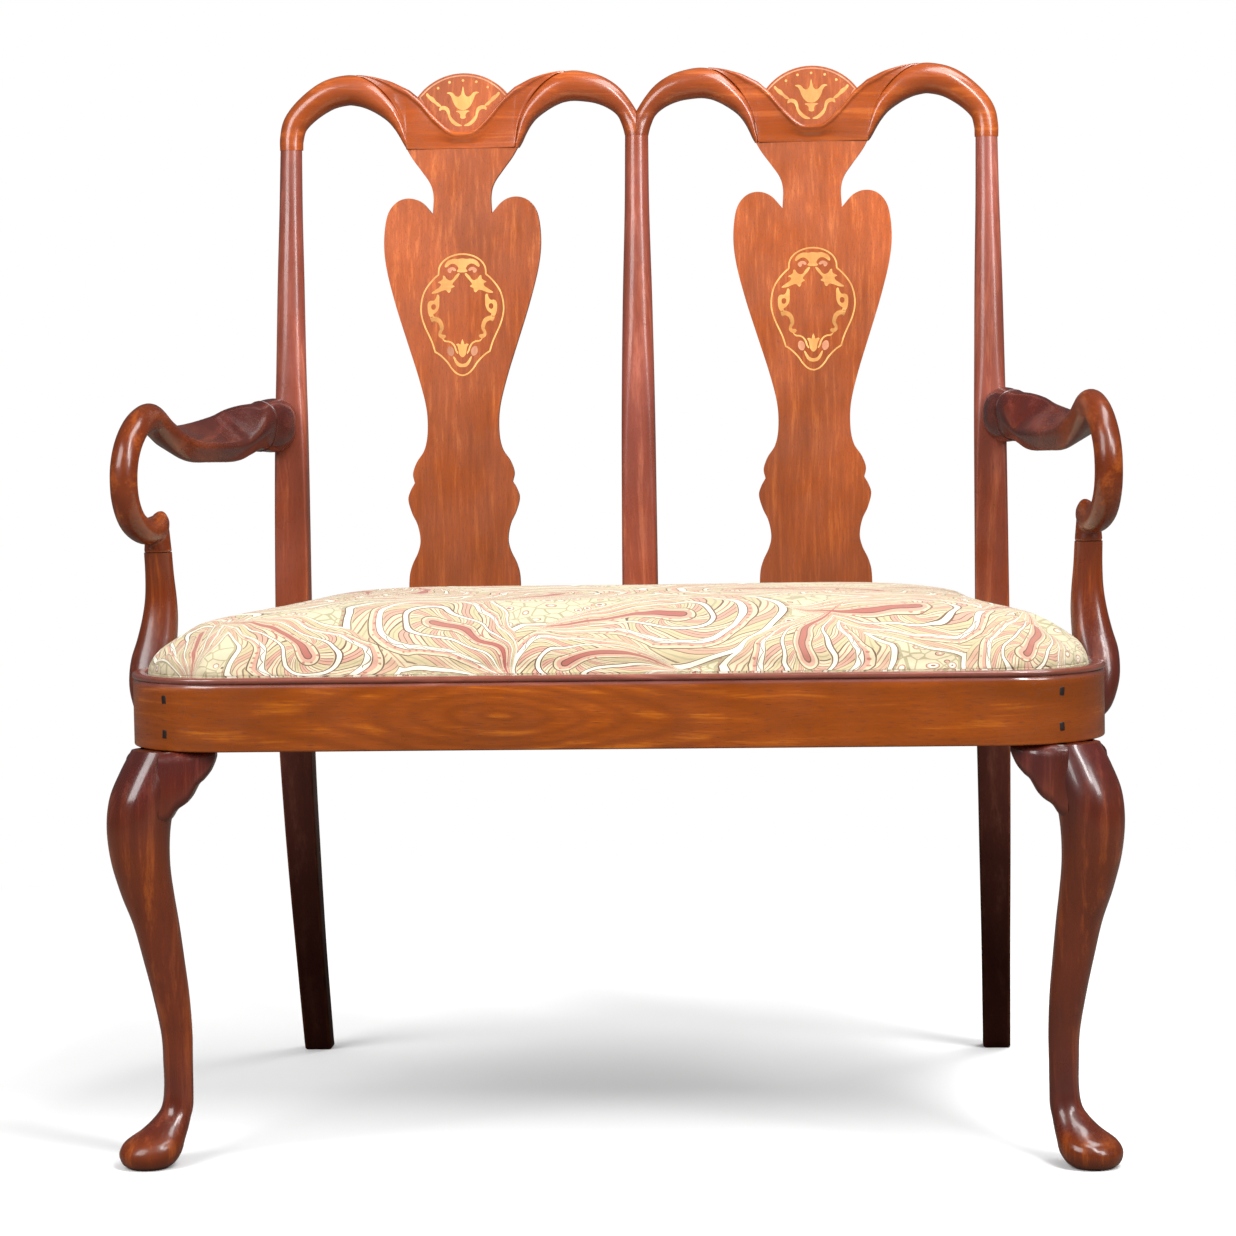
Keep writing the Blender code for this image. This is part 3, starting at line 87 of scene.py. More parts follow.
SPLAT_THICKNESS = 0.01
SPLAT_SETBACK = 0.006
SPLAT_JOINT = 0.943
SHOE_HALF_LENGTH = 0.088
SHOE_HEIGHT = 0.038
SHOE_DEPTH = 0.026
SHOE_SLOT = 0.028
ARM_STILE_X = 0.362
ARM_STILE_Z = 0.6655
ARM_SWING = 0.012
ARM_END_HEIGHT = 0.052
ARM_END_WIDTH = 0.04
ELBOW_TILT = math.radians(38)
CROOK_X = 0.4518
CROOK_TOP = 0.693
CROOK_RADIUS = 0.0129
CROOK_FRONT = -0.207
SUPPORT_X = 0.4365
SUPPORT_Y = -0.125
SUPPORT_TOP = 0.554
SUPPORT_WIDTH = 0.028
SUPPORT_DEPTH = 0.027
SUPPORT_FOOT = 0.393
SUPPORT_BULGE = 0.0235
SUPPORT_LEAN = 0.5
SUPPORT_ROUNDNESS = 0.9
KNEE_OUT = 0.0312
FOOT_OUT = 0.0275
ANKLE_IN = 0.005
LEG_INSET = 0.0145
KNEE_RADIUS = 0.028
PAD_RADIUS = 0.0285
BRACKET_LENGTH = 0.05
BRACKET_HEIGHT = 0.066
BRACKET_DEPTH = 0.036
BRACKET_LEAN = 0.06
BRACKET_ROUNDNESS = 0.6
PEG_WIDTH = 0.0058
PEG_HEIGHT = 0.0082
PEG_LENGTH = 0.0085
PEG_ANGLE = math.radians(-56)
PEG_SHARES = (0.3, 0.77)
SLIP_INSET = 0.0155
SLIP_BACK = 0.14
CUSHION_LOW = 0.4499
CUSHION_CROWN = 0.058
CUSHION_SIDE = 0.006
DUST_CLOTH_LOW = 0.428
DUST_CLOTH_INSET = 0.042

POST_SHARES = (
    # height, width, depth, roundness
    (0.0, 0.83, 0.94, 0.25), (0.06, 0.845, 0.95, 0.22), (0.12, 0.86, 0.96, 0.2), (0.185, 0.895, 0.98, 0.17),
    (0.25, 0.93, 1.0, 0.15), (0.31, 0.955, 1.0, 0.14), (0.355, 0.98, 1.0, 0.13), (0.392, 1.0, 1.0, 0.12),
    (0.476, 1.0, 1.0, 0.12), (0.56, 0.98, 1.0, 0.15), (0.64, 0.96, 0.98, 0.25), (0.705, 0.94, 0.95, 0.5),
    (0.76, 0.9, 0.92, 0.85), (0.85, 0.82, 0.87, 1.0), (0.93, 0.71, 0.82, 1.0), (1.0, 0.65, 0.78, 1.0),
)
CENTRE_SHARES = (
    (0.0, 1.0, 1.0, 0.25), (0.25, 0.97, 1.0, 0.35), (0.45, 0.94, 0.98, 0.6), (0.65, 0.86, 0.95, 1.0),
    (0.85, 0.71, 0.9, 1.0), (1.0, 0.665, 0.88, 1.0),
)
OUTER_ROD_SHARES = (
    # across from post to saddle, height from joint to top, half width and half depth in rod radii
    (0.0, 0.0, 0.77, 0.77), (0.002, 0.2, 0.79, 0.79), (0.032, 0.45, 0.83, 0.83), (0.132, 0.7, 0.9, 0.9),
    (0.281, 0.92, 0.98, 0.98), (0.43, 1.0, 1.0, 1.0), (0.53, 0.975, 0.98, 0.99), (0.612, 0.9, 0.9, 0.95),
    (0.7, 0.755, 0.7, 0.89), (0.781, 0.574, 0.5, 0.84), (0.83, 0.405, 0.37, 0.78), (0.864, 0.24, 0.26, 0.71),
    (0.889, 0.1, 0.18, 0.62), (0.912, 0.0, 0.12, 0.54),
)
INNER_ROD_SHARES = (
    # the same, from the middle of the centre stile
    (0.0, 0.0, 0.76, 0.76), (0.019, 0.15, 0.72, 0.72), (0.046, 0.3, 0.65, 0.65), (0.078, 0.46, 0.62, 0.64),
    (0.123, 0.61, 0.67, 0.7), (0.187, 0.76, 0.79, 0.8), (0.258, 0.87, 0.88, 0.88), (0.345, 0.95, 0.95, 0.95),
    (0.474, 1.0, 1.0, 1.0), (0.565, 0.97, 0.97, 0.99), (0.64, 0.885, 0.89, 0.95), (0.725, 0.715, 0.7, 0.89),
    (0.804, 0.503, 0.5, 0.84), (0.85, 0.305, 0.37, 0.78), (0.877, 0.117, 0.26, 0.71),
    (0.896, -0.048, 0.18, 0.62), (0.914, -0.163, 0.12, 0.54),
)
SADDLE_SHARES = (
    # across from the middle to the hoop's top, top below it, underside, depth, sink of the lower edge
    (0.0, 1.0, 0.0, 0.92, 1.0), (0.1, 0.965, 0.0, 0.92, 1.0), (0.24, 0.72, 0.0, 0.95, 0.98),
    (0.36, 0.45, 0.0, 0.98, 0.95), (0.43, 0.33, 0.0, 1.0, 0.9), (0.466, 0.27, 0.0, 1.02, 0.86),
    (0.475, 0.258, 0.05, 1.03, 0.84), (0.483, 0.25, 0.14, 1.04, 0.82), (0.494, 0.24, 0.245, 1.05, 0.78),
    (0.52, 0.215, 0.375, 1.06, 0.66), (0.555, 0.18, 0.49, 1.06, 0.5), (0.61, 0.13, 0.635, 1.04, 0.28),
    (0.675, 0.09, 0.76, 1.0, 0.1), (0.76, 0.045, 0.875, 0.88, 0.0), (0.845, 0.015, 0.955, 0.7, 0.0),
    (0.91, 0.003, 0.985, 0.52, 0.0),
)
SPLAT_SHARES = (
    # half width, height from the shoe's slot to the crest joint, and True at a sharp corner
    (0.7, 0.0, True), (0.706, 0.09), (0.671, 0.125), (0.586, 0.156), (0.557, 0.181), (0.59, 0.212),
    (0.66, 0.237), (0.706, 0.265), (0.676, 0.284), (0.622, 0.3, True), (0.643, 0.32), (0.592, 0.344),
    (0.495, 0.369), (0.453, 0.405), (0.466, 0.456), (0.561, 0.52), (0.704, 0.595), (0.848, 0.671),
    (0.966, 0.748), (1.0, 0.806), (0.958, 0.861), (0.84, 0.889), (0.68, 0.897), (0.52, 0.888),
    (0.375, 0.862, True), (0.366, 0.9), (0.405, 0.926), (0.51, 0.952), (0.631, 0.979), (0.706, 1.0, True),
)
ARM_SHARES = (
    # along from post to crook, across, height in swings, half width, half height, roundness, tilt
    (-0.035, 0.06, 0.0, 0.42, 0.44, 1.0, 0.0), (0.0, 0.062, 0.0, 0.5, 0.5, 1.0, 0.0),
    (0.035, 0.07, 0.0, 0.545, 0.525, 1.0, 0.0), (0.075, 0.095, 0.0, 0.545, 0.52, 1.0, 0.06),
    (0.108, 0.135, 0.0, 0.51, 0.5, 1.0, 0.18), (0.135, 0.175, -0.01, 0.49, 0.475, 0.95, 0.35),
    (0.176, 0.245, -0.05, 0.56, 0.4, 0.75, 0.78), (0.24, 0.345, -0.4, 0.61, 0.3, 0.5, 0.97),
    (0.312, 0.445, -0.85, 0.62, 0.24, 0.42, 1.0), (0.462, 0.612, -1.05, 0.57, 0.21, 0.4, 0.8),
    (0.599, 0.724, -0.9, 0.48, 0.23, 0.48, 0.8), (0.722, 0.807, 0.25, 0.4, 0.24, 0.8, 0.9),
    (0.8145, 0.846, 1.3, 0.34, 0.25, 1.0, 1.0),
)
CROOK_SHARES = (
    # forward and back, across, height from support top to crook top, radius
    (0.524, 0.896, 0.885, 1.0), (0.768, 0.938, 0.806, 1.0), (0.927, 0.974, 0.69, 1.0),
    (1.0, 0.991, 0.547, 1.0), (0.96, 0.986, 0.374, 1.0), (0.76, 0.952, 0.23, 1.0), (0.43, 0.891, 0.155, 0.98),
    (0.13, 0.832, 0.165, 0.94), (0.02, 0.808, 0.205, 0.78), (-0.015, 0.799, 0.245, 0.52),
    (-0.03, 0.795, 0.268, 0.28), (-0.034, 0.794, 0.278, 0.05),
)
SUPPORT_SHARES = (
    # height from foot to top, across in bulges, forward, half width, half depth
    (1.0, 0.0, 0.06, 0.46, 0.5), (0.86, -0.03, 0.02, 0.48, 0.47), (0.73, -0.05, 0.0, 0.53, 0.48),
    (0.61, -0.01, 0.04, 0.6, 0.53), (0.49, 0.1, 0.12, 0.67, 0.6), (0.39, 0.23, 0.22, 0.73, 0.66),
    (0.3, 0.32, 0.34, 0.71, 0.68), (0.21, 0.36, 0.46, 0.65, 0.64), (0.12, 0.33, 0.58, 0.54, 0.54),
    (0.05, 0.26, 0.66, 0.42, 0.42), (0.0, 0.16, 0.7, 0.26, 0.26),
)
LEG_SHARES = (
    # height, knee share out, foot share out, ankle share in, radius as a share of the knee's, roundness
    (0.0, 0.0, 1.1, 0.0, 0.62, 1.0), (0.012, 0.0, 1.08, 0.0, 0.85, 1.0), (0.035, 0.0, 1.0, 0.0, 1.0, 1.0),
    (0.06, 0.0, 0.82, 0.0, 0.96, 1.0), (0.084, 0.0, 0.42, 0.0, 0.76, 1.0), (0.108, 0.0, 0.12, 0.0, 0.61, 1.0),
    (0.135, 0.0, 0.0, 0.6, 0.52, 1.0), (0.18, 0.0, 0.0, 1.0, 0.48, 1.0), (0.24, 0.0, 0.0, 1.0, 0.485, 1.0),
    (0.31, 0.0, 0.0, 0.9, 0.51, 1.0), (0.4, 0.09, 0.0, 0.5, 0.59, 1.0), (0.49, 0.23, 0.0, 0.0, 0.665, 1.0),
    (0.58, 0.47, 0.0, 0.0, 0.745, 1.0), (0.66, 0.76, 0.0, 0.0, 0.86, 1.0), (0.74, 0.97, 0.0, 0.0, 0.94, 0.95),
    (0.82, 1.0, 0.0, 0.0, 1.0, 0.9), (0.89, 0.82, 0.0, 0.0, 1.03, 0.85), (0.95, 0.47, 0.0, 0.0, 1.0, 0.85),
    (1.0, 0.1, 0.0, 0.0, 0.96, 0.85),
)
BRACKET_SHARES = (
    # along from the leg to the tip, drop, half depth, set-in of the middle from the rail's face
    (0.0, 1.0, 0.48, 0.55), (0.15, 0.94, 0.48, 0.56), (0.27, 0.81, 0.47, 0.57), (0.42, 0.73, 0.45, 0.6),
    (0.54, 0.63, 0.42, 0.61), (0.66, 0.47, 0.37, 0.62), (0.76, 0.4, 0.33, 0.61), (0.88, 0.29, 0.28, 0.6),
    (0.96, 0.17, 0.22, 0.58), (1.0, 0.09, 0.16, 0.56),
)
CUSHION_SHARES = (
    # scale about the middle, share of the crown
    (0.994, 0.28), (0.975, 0.41), (0.93, 0.57), (0.85, 0.74), (0.72, 0.88), (0.52, 0.97), (0.26, 1.0),
)

# How finely the dressed pieces are made
SECTION_STEPS = 7
CORNER_STEPS = 40
ROW_STEPS = 6
STATION_STEP = 0.02
EDGE_ANGLE = math.radians(38)
FLAT_FACE = 0.93
WELD = GAP / 30
EASED_ANGLE = math.radians(40)
# The arm's heel, which is run into the arm here and so reaches higher than the solid's
HEEL_RISE = 0.032
HEEL_TAPER = 0.78
# Bends, in radians per metre, at which an edge begins to turn paler, as wear and as a painted highlight, or a
# hollow darker, and at which it does so fully
SLACK_BEND = 90.0
TIGHT_BEND = 900.0

SIDES = (("left", -1), ("right", 1))


# ---- Finishes -------------------------------------------------------------------------------------------

class Value:
    """What a node puts out. Arithmetic on it adds a node, and so does a Math operation called by its name."""

    def __init__(self, nodes, socket):
        self.nodes, self.socket = nodes, socket

    def __getattr__(self, operation):
        return lambda *others: self.nodes.math(operation.upper(), self, *others)

    def __add__(self, other):
        return self.nodes.math("ADD", self, other)

    def __sub__(self, other):
        return self.nodes.math("SUBTRACT", self, other)

    def __rsub__(self, other):
        return self.nodes.math("SUBTRACT", other, self)

    def __mul__(self, other):
        return self.nodes.math("MULTIPLY", self, other)

    def __truediv__(self, other):
        return self.nodes.math("DIVIDE", self, other)

    def __lt__(self, other):
        return self.nodes.math("LESS_THAN", self, other)

    def __gt__(self, other):
        return self.nodes.math("GREATER_THAN", self, other)

    def other(self, out):
        """Something else that the same node puts out."""
        return Value(self.nodes, self.socket.node.outputs[out])

    def part(self, k):
        """One number of a place: 0 for x, 1 for y."""
        return self.nodes.node("ShaderNodeSeparateXYZ", {0: self}, out=k)

    def size(self):
        """How long a vector is."""
        return self.nodes.node("ShaderNodeVectorMath", {0: self}, out=1, operation="LENGTH")

    def spread(self, low, high, to_low=0.0, to_high=1.0):
        inputs = {"Value": self, "From Min": low, "From Max": high, "To Min": to_low, "To Max": to_high}
        return self.nodes.node("ShaderNodeMapRange", inputs)

    def ramp(self, stops, interpolation="LINEAR"):
        """A colour for each value, from stops of a place and a colour."""
        made = self.nodes.node("ShaderNodeValToRGB", {0: self})
        band = made.socket.node.color_ramp
        band.interpolation = interpolation
        while len(band.elements) < len(stops):
            band.elements.new(0.5)
        for element, (place, colour) in zip(band.elements, stops):
            element.position = place
            element.color = (*colour, 1.0)
        return made

    def mixed(self, share, other, mode="MIX"):
        """This colour with a share of another."""
        return self.nodes.node("ShaderNodeMix", {0: share, 6: self, 7: other}, out=2, data_type="RGBA",
                               blend_type=mode)

    def scaled(self, share):
        """This colour made darker or lighter by a share."""
        return self.mixed(1.0, self.nodes.grey(share), "MULTIPLY")


class Nodes:
    """A node tree. Each call adds one node and gives back what it puts out."""

    def __init__(self, tree):
        self.tree = tree

    def put(self, socket, value):
        if isinstance(value, Value):
            self.tree.links.new(value.socket, socket)
        else:
            socket.default_value = (*value, 1.0) if socket.type == "RGBA" else value

    def node(self, kind, inputs=(), out=0, **settings):
        made = self.tree.nodes.new(kind)
        for key, value in settings.items():
            setattr(made, key, value)
        for key, value in dict(inputs).items():
            self.put(made.inputs[key], value)
        return Value(self, made.outputs[out]) if made.outputs else None

    def math(self, operation, *values):
        """A Math node, or a Vector Math node where a value is a vector."""
        vector = any(isinstance(v, tuple) or isinstance(v, Value) and v.socket.type == "VECTOR"
                     for v in values)
        kind = "ShaderNodeVectorMath" if vector else "ShaderNodeMath"
        return self.node(kind, enumerate(values), operation=operation)

    def noise(self, place, scale, detail=2.0, rough=0.5):
        """Noise on a place stretched by a scale for each direction, per metre."""
        inputs = {"Vector": place * scale, "Scale": 1.0, "Detail": detail, "Roughness": rough}
        return self.node("ShaderNodeTexNoise", inputs)

    def grey(self, tone):
        return self.node("ShaderNodeCombineColor", {0: tone, 1: tone, 2: tone})


class Finish(Nodes):
    """A procedural finish."""

    def __init__(self, name):
        self.material = bpy.data.materials.new(name)
        self.material.use_nodes = True
        super().__init__(self.material.node_tree)
        self.shader = self.tree.nodes["Principled BSDF"]

    def attribute(self, name, out="Fac"):
        return self.node("ShaderNodeAttribute", out=out, attribute_name=name)

    def place(self):
        return self.node("ShaderNodeTexCoord", out="Object")

    def surface(self, relief=(), **inputs):
        """The material, with its relief as a height and a depth in metres, and its shader's other inputs."""
        if relief:
            bump = {"Height": relief[0], "Distance": relief[1], "Strength": 1.0}
            inputs["normal"] = self.node("ShaderNodeBump", bump)
        for key, value in inputs.items():
            self.put(self.shader.inputs[key.replace("_", " ").title().replace("Ior", "IOR")], value)
        return self.material


def shade(colour, share):
    return tuple(min(c * share, 1.0) for c in colour)


RING_RATE, RING_WAVER = 320.0, 26.0
ARCH_RATE, ARCH_WAVER, ARCH_LEAN, ARCH_SPAN, ARCH_DEPTH = 760.0, 9.0, 0.30, 0.05, 0.34
WOOD_BUMP, WOOD_IOR, COAT_ROUGH = 0.0004, 1.5, 0.12


def wood(name, dark, light, figure=0.5, stripe=0.5, gloss=0.26, polish=0.25, pores=0.55, turn=None, worn=1.35,
         aged=None, crown=None, streaks=(3.5, 75, 60), stained_and_shaded=False, rubbed_up=None):
    """Polished or bare wood. The grain runs along the first number of the board's own coordinates.

    aged is the dark and the light colour where the piece's tone is 0. The first two colours are for tone 1.
    crown is the middle, along and across the board, of the nested arches of a flat-sawn face.
    streaks is how many streaks a metre there are each way, and sooty wood goes dark and dull below tone 0, as
    stain and as painted shade.
    rubbed_up is the polish where the tone is 0.
    """
    f = Finish(name)
    if turn is None:
        place = f.attribute("grain", "Vector")
    else:
        place = f.node("ShaderNodeMapping", {"Vector": f.place(), "Rotation": turn})
    sway = (f.noise(place, (2.4, 10, 10)) - 0.5) * (0.10 * figure)
    bent = place + f.node("ShaderNodeCombineXYZ", {"Y": sway})
    across = bent.part(1)
    fine = f.noise(bent, (16, 560, 420), 3.0, 0.6)
    broad = f.noise(place, (1.6, 16, 16))
    rings = (across * RING_RATE + broad * (RING_WAVER * figure)).sine() * 0.5 + 0.5
    tone = f.noise(bent, streaks, 4.0, 0.6) * 0.55 + fine * 0.25 + rings * (0.16 * stripe)
    tone = tone + f.noise(bent, (42, 7, 7)) * (0.20 * figure)
    tone = tone.spread(0.30 + 0.03 * (stripe + figure), 0.66 + 0.13 * (stripe + figure))
    if crown:
        run = ((bent.part(0) - crown[0]).absolute() * (ARCH_LEAN / ARCH_SPAN)).tanh() * ARCH_SPAN
        rise = across - crown[1]
        arch = (rise * rise + run * run).sqrt() * ARCH_RATE + broad * ARCH_WAVER
        tone = tone - (arch.sine() * 0.5 + 0.5).power(2.5) * ARCH_DEPTH
    middle = tuple((a + b) * 0.5 for a, b in zip(dark, light))
    colour = tone.ramp(((0.0, shade(dark, 0.8)), (0.38, dark), (0.62, middle), (1.0, light)))
    if aged:
        old = tone.ramp(((0.0, shade(aged[0], 0.8)), (0.38, aged[0]), (1.0, aged[1])))
        patch = f.noise(place, (7, 26, 26), 4.0, 0.6).spread(0.3, 0.7, -0.22, 0.22)
        colour = old.mixed(f.attribute("tone") + patch, colour)
    shine = 0.5
    if rubbed_up:
        polish = f.attribute("tone").spread(0.0, 1.0, rubbed_up, polish)
    # Below tone 0 the wood goes darker and duller: stain, and painted shade on the feet.
    if stained_and_shaded:
        stain_and_shade = f.attribute("tone").minimum(0.0) + 1.0
        colour, polish, shine = colour.scaled(stain_and_shade), stain_and_shade * polish, stain_and_shade * shine
    colour = colour.scaled(f.noise(place, (5, 9, 9), 3.0).spread(0.3, 0.7, 0.74, 1.18))
    pits = f.noise(place, (85, 1900, 1900), 1.0).spread(0.60, 0.74)
    colour = colour.mixed(pits * pores, shade(dark, 0.35))
    # Proud edges turn paler: wear, and a painted highlight.
    rubbed_and_lit = f.attribute("worn") * f.noise(place, (60, 60, 60), 3.0).spread(0.35, 0.65)
    colour = colour.mixed(rubbed_and_lit * 0.55, shade(light, worn))
    # Hollows and creases are made darker.
    colour = colour.mixed(f.attribute("grime") * 0.7, shade(dark, 0.25))
    rough = f.noise(place, (22, 22, 22), 3.0).spread(0.3, 0.7, gloss - 0.07, gloss + 0.10) + pits * 0.15
    if stained_and_shaded:
        rough = (1.0 - stain_and_shade) * 0.35 + rough
    height = f.noise(place, (26, 60, 60)) * 0.55 + fine * 0.05 - pits * 0.10
    return f.surface((height, WOOD_BUMP), base_color=colour, roughness=rough, coat_weight=polish,
                     coat_roughness=COAT_ROUGH, ior=WOOD_IOR, specular_ior_level=shine)


MAHOGANY = wood("mahogany", (0.165, 0.026, 0.003), (0.44, 0.098, 0.01), figure=0.4, polish=0.34,
                rubbed_up=0.65, aged=((0.078, 0.011, 0.008), (0.225, 0.046, 0.032)))
RAIL_WOOD = wood("rail_mahogany", (0.33, 0.066, 0.003), (0.68, 0.19, 0.009), figure=0.4, stripe=0.2,
                 polish=0.18, rubbed_up=1.0, pores=0.9, streaks=(11, 105, 90), crown=(4.67, 2.675),
                 aged=((0.26, 0.074, 0.056), (0.58, 0.225, 0.17)))
CREST_WOOD = wood("crest_mahogany", (0.4, 0.076, 0.01), (0.74, 0.195, 0.032), figure=0.35, stripe=0.3,
                  polish=0.5, aged=((0.22, 0.044, 0.02), (0.48, 0.13, 0.06)))
# Its edges turn paler than most, as wear and as a painted highlight.
SPLAT_WOOD = wood("splat_mahogany", (0.42, 0.088, 0.017), (0.68, 0.195, 0.048), figure=0.2, stripe=0.2,
                  gloss=0.36, polish=0.12, pores=0.75, worn=1.5, streaks=(9, 210, 160),
                  aged=((0.26, 0.054, 0.008), (0.46, 0.125, 0.022)))
# Its aged colours are made lighter in part as a painted highlight, for the posts above the arms.
DARK_WOOD = wood("dark_mahogany", (0.25, 0.044, 0.01), (0.55, 0.142, 0.031), figure=0.4, gloss=0.28,
                 polish=0.4, aged=((0.31, 0.076, 0.05), (0.69, 0.235, 0.155)), stained_and_shaded=True)
PEG_WOOD = wood("peg_wood", (0.014, 0.005, 0.003), (0.075, 0.026, 0.014), figure=0.2, gloss=0.45, polish=0.1)
SATINWOOD = wood("satinwood_inlay", (0.7, 0.32, 0.09), (0.87, 0.47, 0.16), stripe=0.4, gloss=0.34, polish=0.2,
                 pores=0.15)
FRUITWOOD = wood("tinted_inlay", (0.62, 0.26, 0.14), (0.82, 0.4, 0.22), stripe=0.3, gloss=0.34, polish=0.2,
                 pores=0.15)
BEECH_X, BEECH_Y = (
    wood(name, (0.36, 0.22, 0.11), (0.62, 0.43, 0.25), figure=0.2, stripe=0.4, gloss=0.6, polish=0.0,
         pores=0.3, turn=(0, 0, turn)) for name, turn in (("beech_across", 0), ("beech_along", math.pi / 2)))


def steel(name):
    """Dulled screw steel with turning marks and some tarnish."""
    f = Finish(name)
    stain = f.noise(f.place(), (160, 160, 160), 4.0, 0.6)
    marks = f.noise(f.place(), (2500, 900, 900))
    colour = stain.ramp(((0.30, (0.16, 0.13, 0.11)), (0.55, (0.42, 0.40, 0.38)), (0.80, (0.56, 0.55, 0.53))))
    return f.surface((stain + marks * 0.4, 0.0001), base_color=colour, metallic=1.0,
                     roughness=stain.spread(0.3, 0.8, 0.62, 0.34))


def plain_weave(name, dark, light, thread):
    """A plain woven cloth, with threads of that width along both of its directions."""
    f = Finish(name)
    place = f.place()
    x, y = (place.part(k) * (math.pi / thread) for k in (0, 1))
    over = (x + y).sine()
    height = x.sine().absolute() * over.spread(-1, 1, 0.5, 1.0)
    height = height.maximum(y.sine().absolute() * over.spread(-1, 1, 1.0, 0.5))
    # Thread crests lighter and the gaps between threads darker, a painted shade, over fibre colour that differs
    # at random.
    tone = f.noise(place, (90, 90, 400), 4.0, 0.65) * 0.5 + height * 0.5
    return f.surface((height, thread * 0.35), base_color=tone.ramp(((0.15, dark), (0.75, light))),
                     roughness=0.92)


SCREW_STEEL = steel("screw_steel")
WEBBING = plain_weave("jute_webbing", (0.22, 0.15, 0.08), (0.58, 0.46, 0.29), 0.0016)
CAMBRIC = plain_weave("black_cambric", (0.010, 0.009, 0.009), (0.055, 0.052, 0.050), 0.0008)


# ---- Shapes ---------------------------------------------------------------------------------------------

def board(along, across, through, seed):
    """A board that the piece was cut from: which way its grain runs, and which part of the log it is."""
    order = ["xyz".index(k) for k in (along, across, through)]
    offset = Vector((seed * 1.37, seed * 0.73, seed * 0.41))
    return lambda p: Vector([p[k] for k in order]) + offset


def section(half_width, half_depth, roundness, steps=SECTION_STEPS):
    """A rectangle with rounded corners. Roundness 0 is square, and 1 is as round as the sizes allow."""
    corner = min(max(roundness, 0.0) * min(half_width, half_depth) + GAP, half_width, half_depth)
    points = []
    for quarter in range(4):
        across = half_width - corner if quarter in (0, 3) else corner - half_width
        along = half_depth - corner if quarter < 2 else corner - half_depth
        for k in range(steps):
            angle = math.pi / 2 * (quarter + k / (steps - 1))
            points.append((across + corner * math.cos(angle), along + corner * math.sin(angle)))
    return points


def between(a, b, c, d, t):
    """A place between b and c on a smooth curve that comes from a and goes on to d."""
    return tuple(q + ((r - p) * t + (2 * p - 5 * q + 4 * r - s) * t ** 2 + (3 * q - p - 3 * r + s) * t ** 3) / 2
                 for p, q, r, s in zip(a, b, c, d))


def smooth_rows(rows, per_span=ROW_STEPS):
    """More rows on a smooth curve through the given ones, all their numbers alike."""
    full = [tuple(2 * a - b for a, b in zip(rows[0], rows[1]))] + list(rows)
    full.append(tuple(2 * a - b for a, b in zip(rows[-1], rows[-2])))
    return [between(*four, k / per_span) for four in zip(full, full[1:], full[2:], full[3:])
            for k in range(per_span)] + [tuple(rows[-1])]


def smooth_outline(points, steps):
    """A closed outline through points. A point with True as its third value stays a sharp corner."""
    result = []
    count = len(points)
    for k in range(count):
        a, b, c, d = (points[(k + j) % count] for j in (-1, 0, 1, 2))
        if b[2]:
            a = (2 * b[0] - c[0], 2 * b[1] - c[1])
        if c[2]:
            d = (2 * c[0] - b[0], 2 * c[1] - b[1])
        result += [between(a, b[:2], c, d, j / steps) for j in range(steps)]
    return result


def level_rings(rows, side=1):
    """Level sections, one above the other. A row is x, y, z, half width, half depth and roundness."""
    return [[Vector((side * (x + a), y + b, z)) for a, b in section(w, d, r)] for x, y, z, w, d, r in rows]


def path_rings(rows, side):
    """Sections square to a path. A row is x, y, z, half width, half height, roundness and tilt."""
    places = [Vector(row[:3]) for row in rows]
    across = Vector((1, 0, 0))
    rings = []
    for k, (place, row) in enumerate(zip(places, rows)):
        ahead = (places[min(k + 1, len(places) - 1)] - places[max(k - 1, 0)]).normalized()
        across = (across - ahead * across.dot(ahead)).normalized()
        up = ahead.cross(across)
        tilt = Matrix.Rotation(row[6], 2)
        points = [place + across * a + up * b
                  for a, b in (tilt @ Vector(pair) for pair in section(row[3], row[4], min(row[5], 1.0)))]
        rings.append([Vector((side * p.x, p.y, p.z)) for p in points])
    return rings


class Shape:
    """Closed shells gathered for one piece."""

    def __init__(self, start=None):
        self.bm = bmesh.new()
        if start:
            self.bm.from_mesh(start)
        layers = self.bm.verts.layers.float_vector
        self.grain = layers.get("grain") or layers.new("grain")

    def loft(self, rings, grain_rings=(), closed=False):
        """A shell through rings of points, with ends, or closed on itself."""
        rows = [[self.bm.verts.new(point) for point in ring] for ring in rings]
        for row, places in zip(rows, grain_rings):
            for vertex, place in zip(row, places):
                vertex[self.grain] = place
        count = len(rows[0])
        faces = [self.bm.faces.new((low[k], low[(k + 1) % count], high[(k + 1) % count], high[k]))
                 for low, high in zip(rows, rows[1:] + rows[:closed]) for k in range(count)]
        if not closed:
            faces += [self.bm.faces.new(rows[0][::-1]), self.bm.faces.new(rows[-1])]
            bmesh.ops.remove_doubles(self.bm, verts=[v for row in rows for v in row], dist=WELD)
        bmesh.ops.recalc_face_normals(self.bm, faces=[face for face in faces if face.is_valid])
        return self

    def cut(self, place, across, **how):
        """Cut every face along a plane."""
        everything = self.bm.verts[:] + self.bm.edges[:] + self.bm.faces[:]
        return bmesh.ops.bisect_plane(self.bm, geom=everything, plane_co=place, plane_no=across, **how)

    def trim(self, place, outward):
        """Cut off what lies beyond a plane, and close the cut."""
        cut = self.cut(place, outward, clear_outer=True)
        edges = [part for part in cut["geom_cut"] if isinstance(part, bmesh.types.BMEdge)]
        bmesh.ops.holes_fill(self.bm, edges=edges, sides=0)

    def mesh(self, own_board=None):
        if own_board:
            for vertex in self.bm.verts:
                vertex[self.grain] = own_board(vertex.co)
        mesh = bpy.data.meshes.new("shape")
        self.bm.to_mesh(mesh)
        self.bm.free()
        return mesh


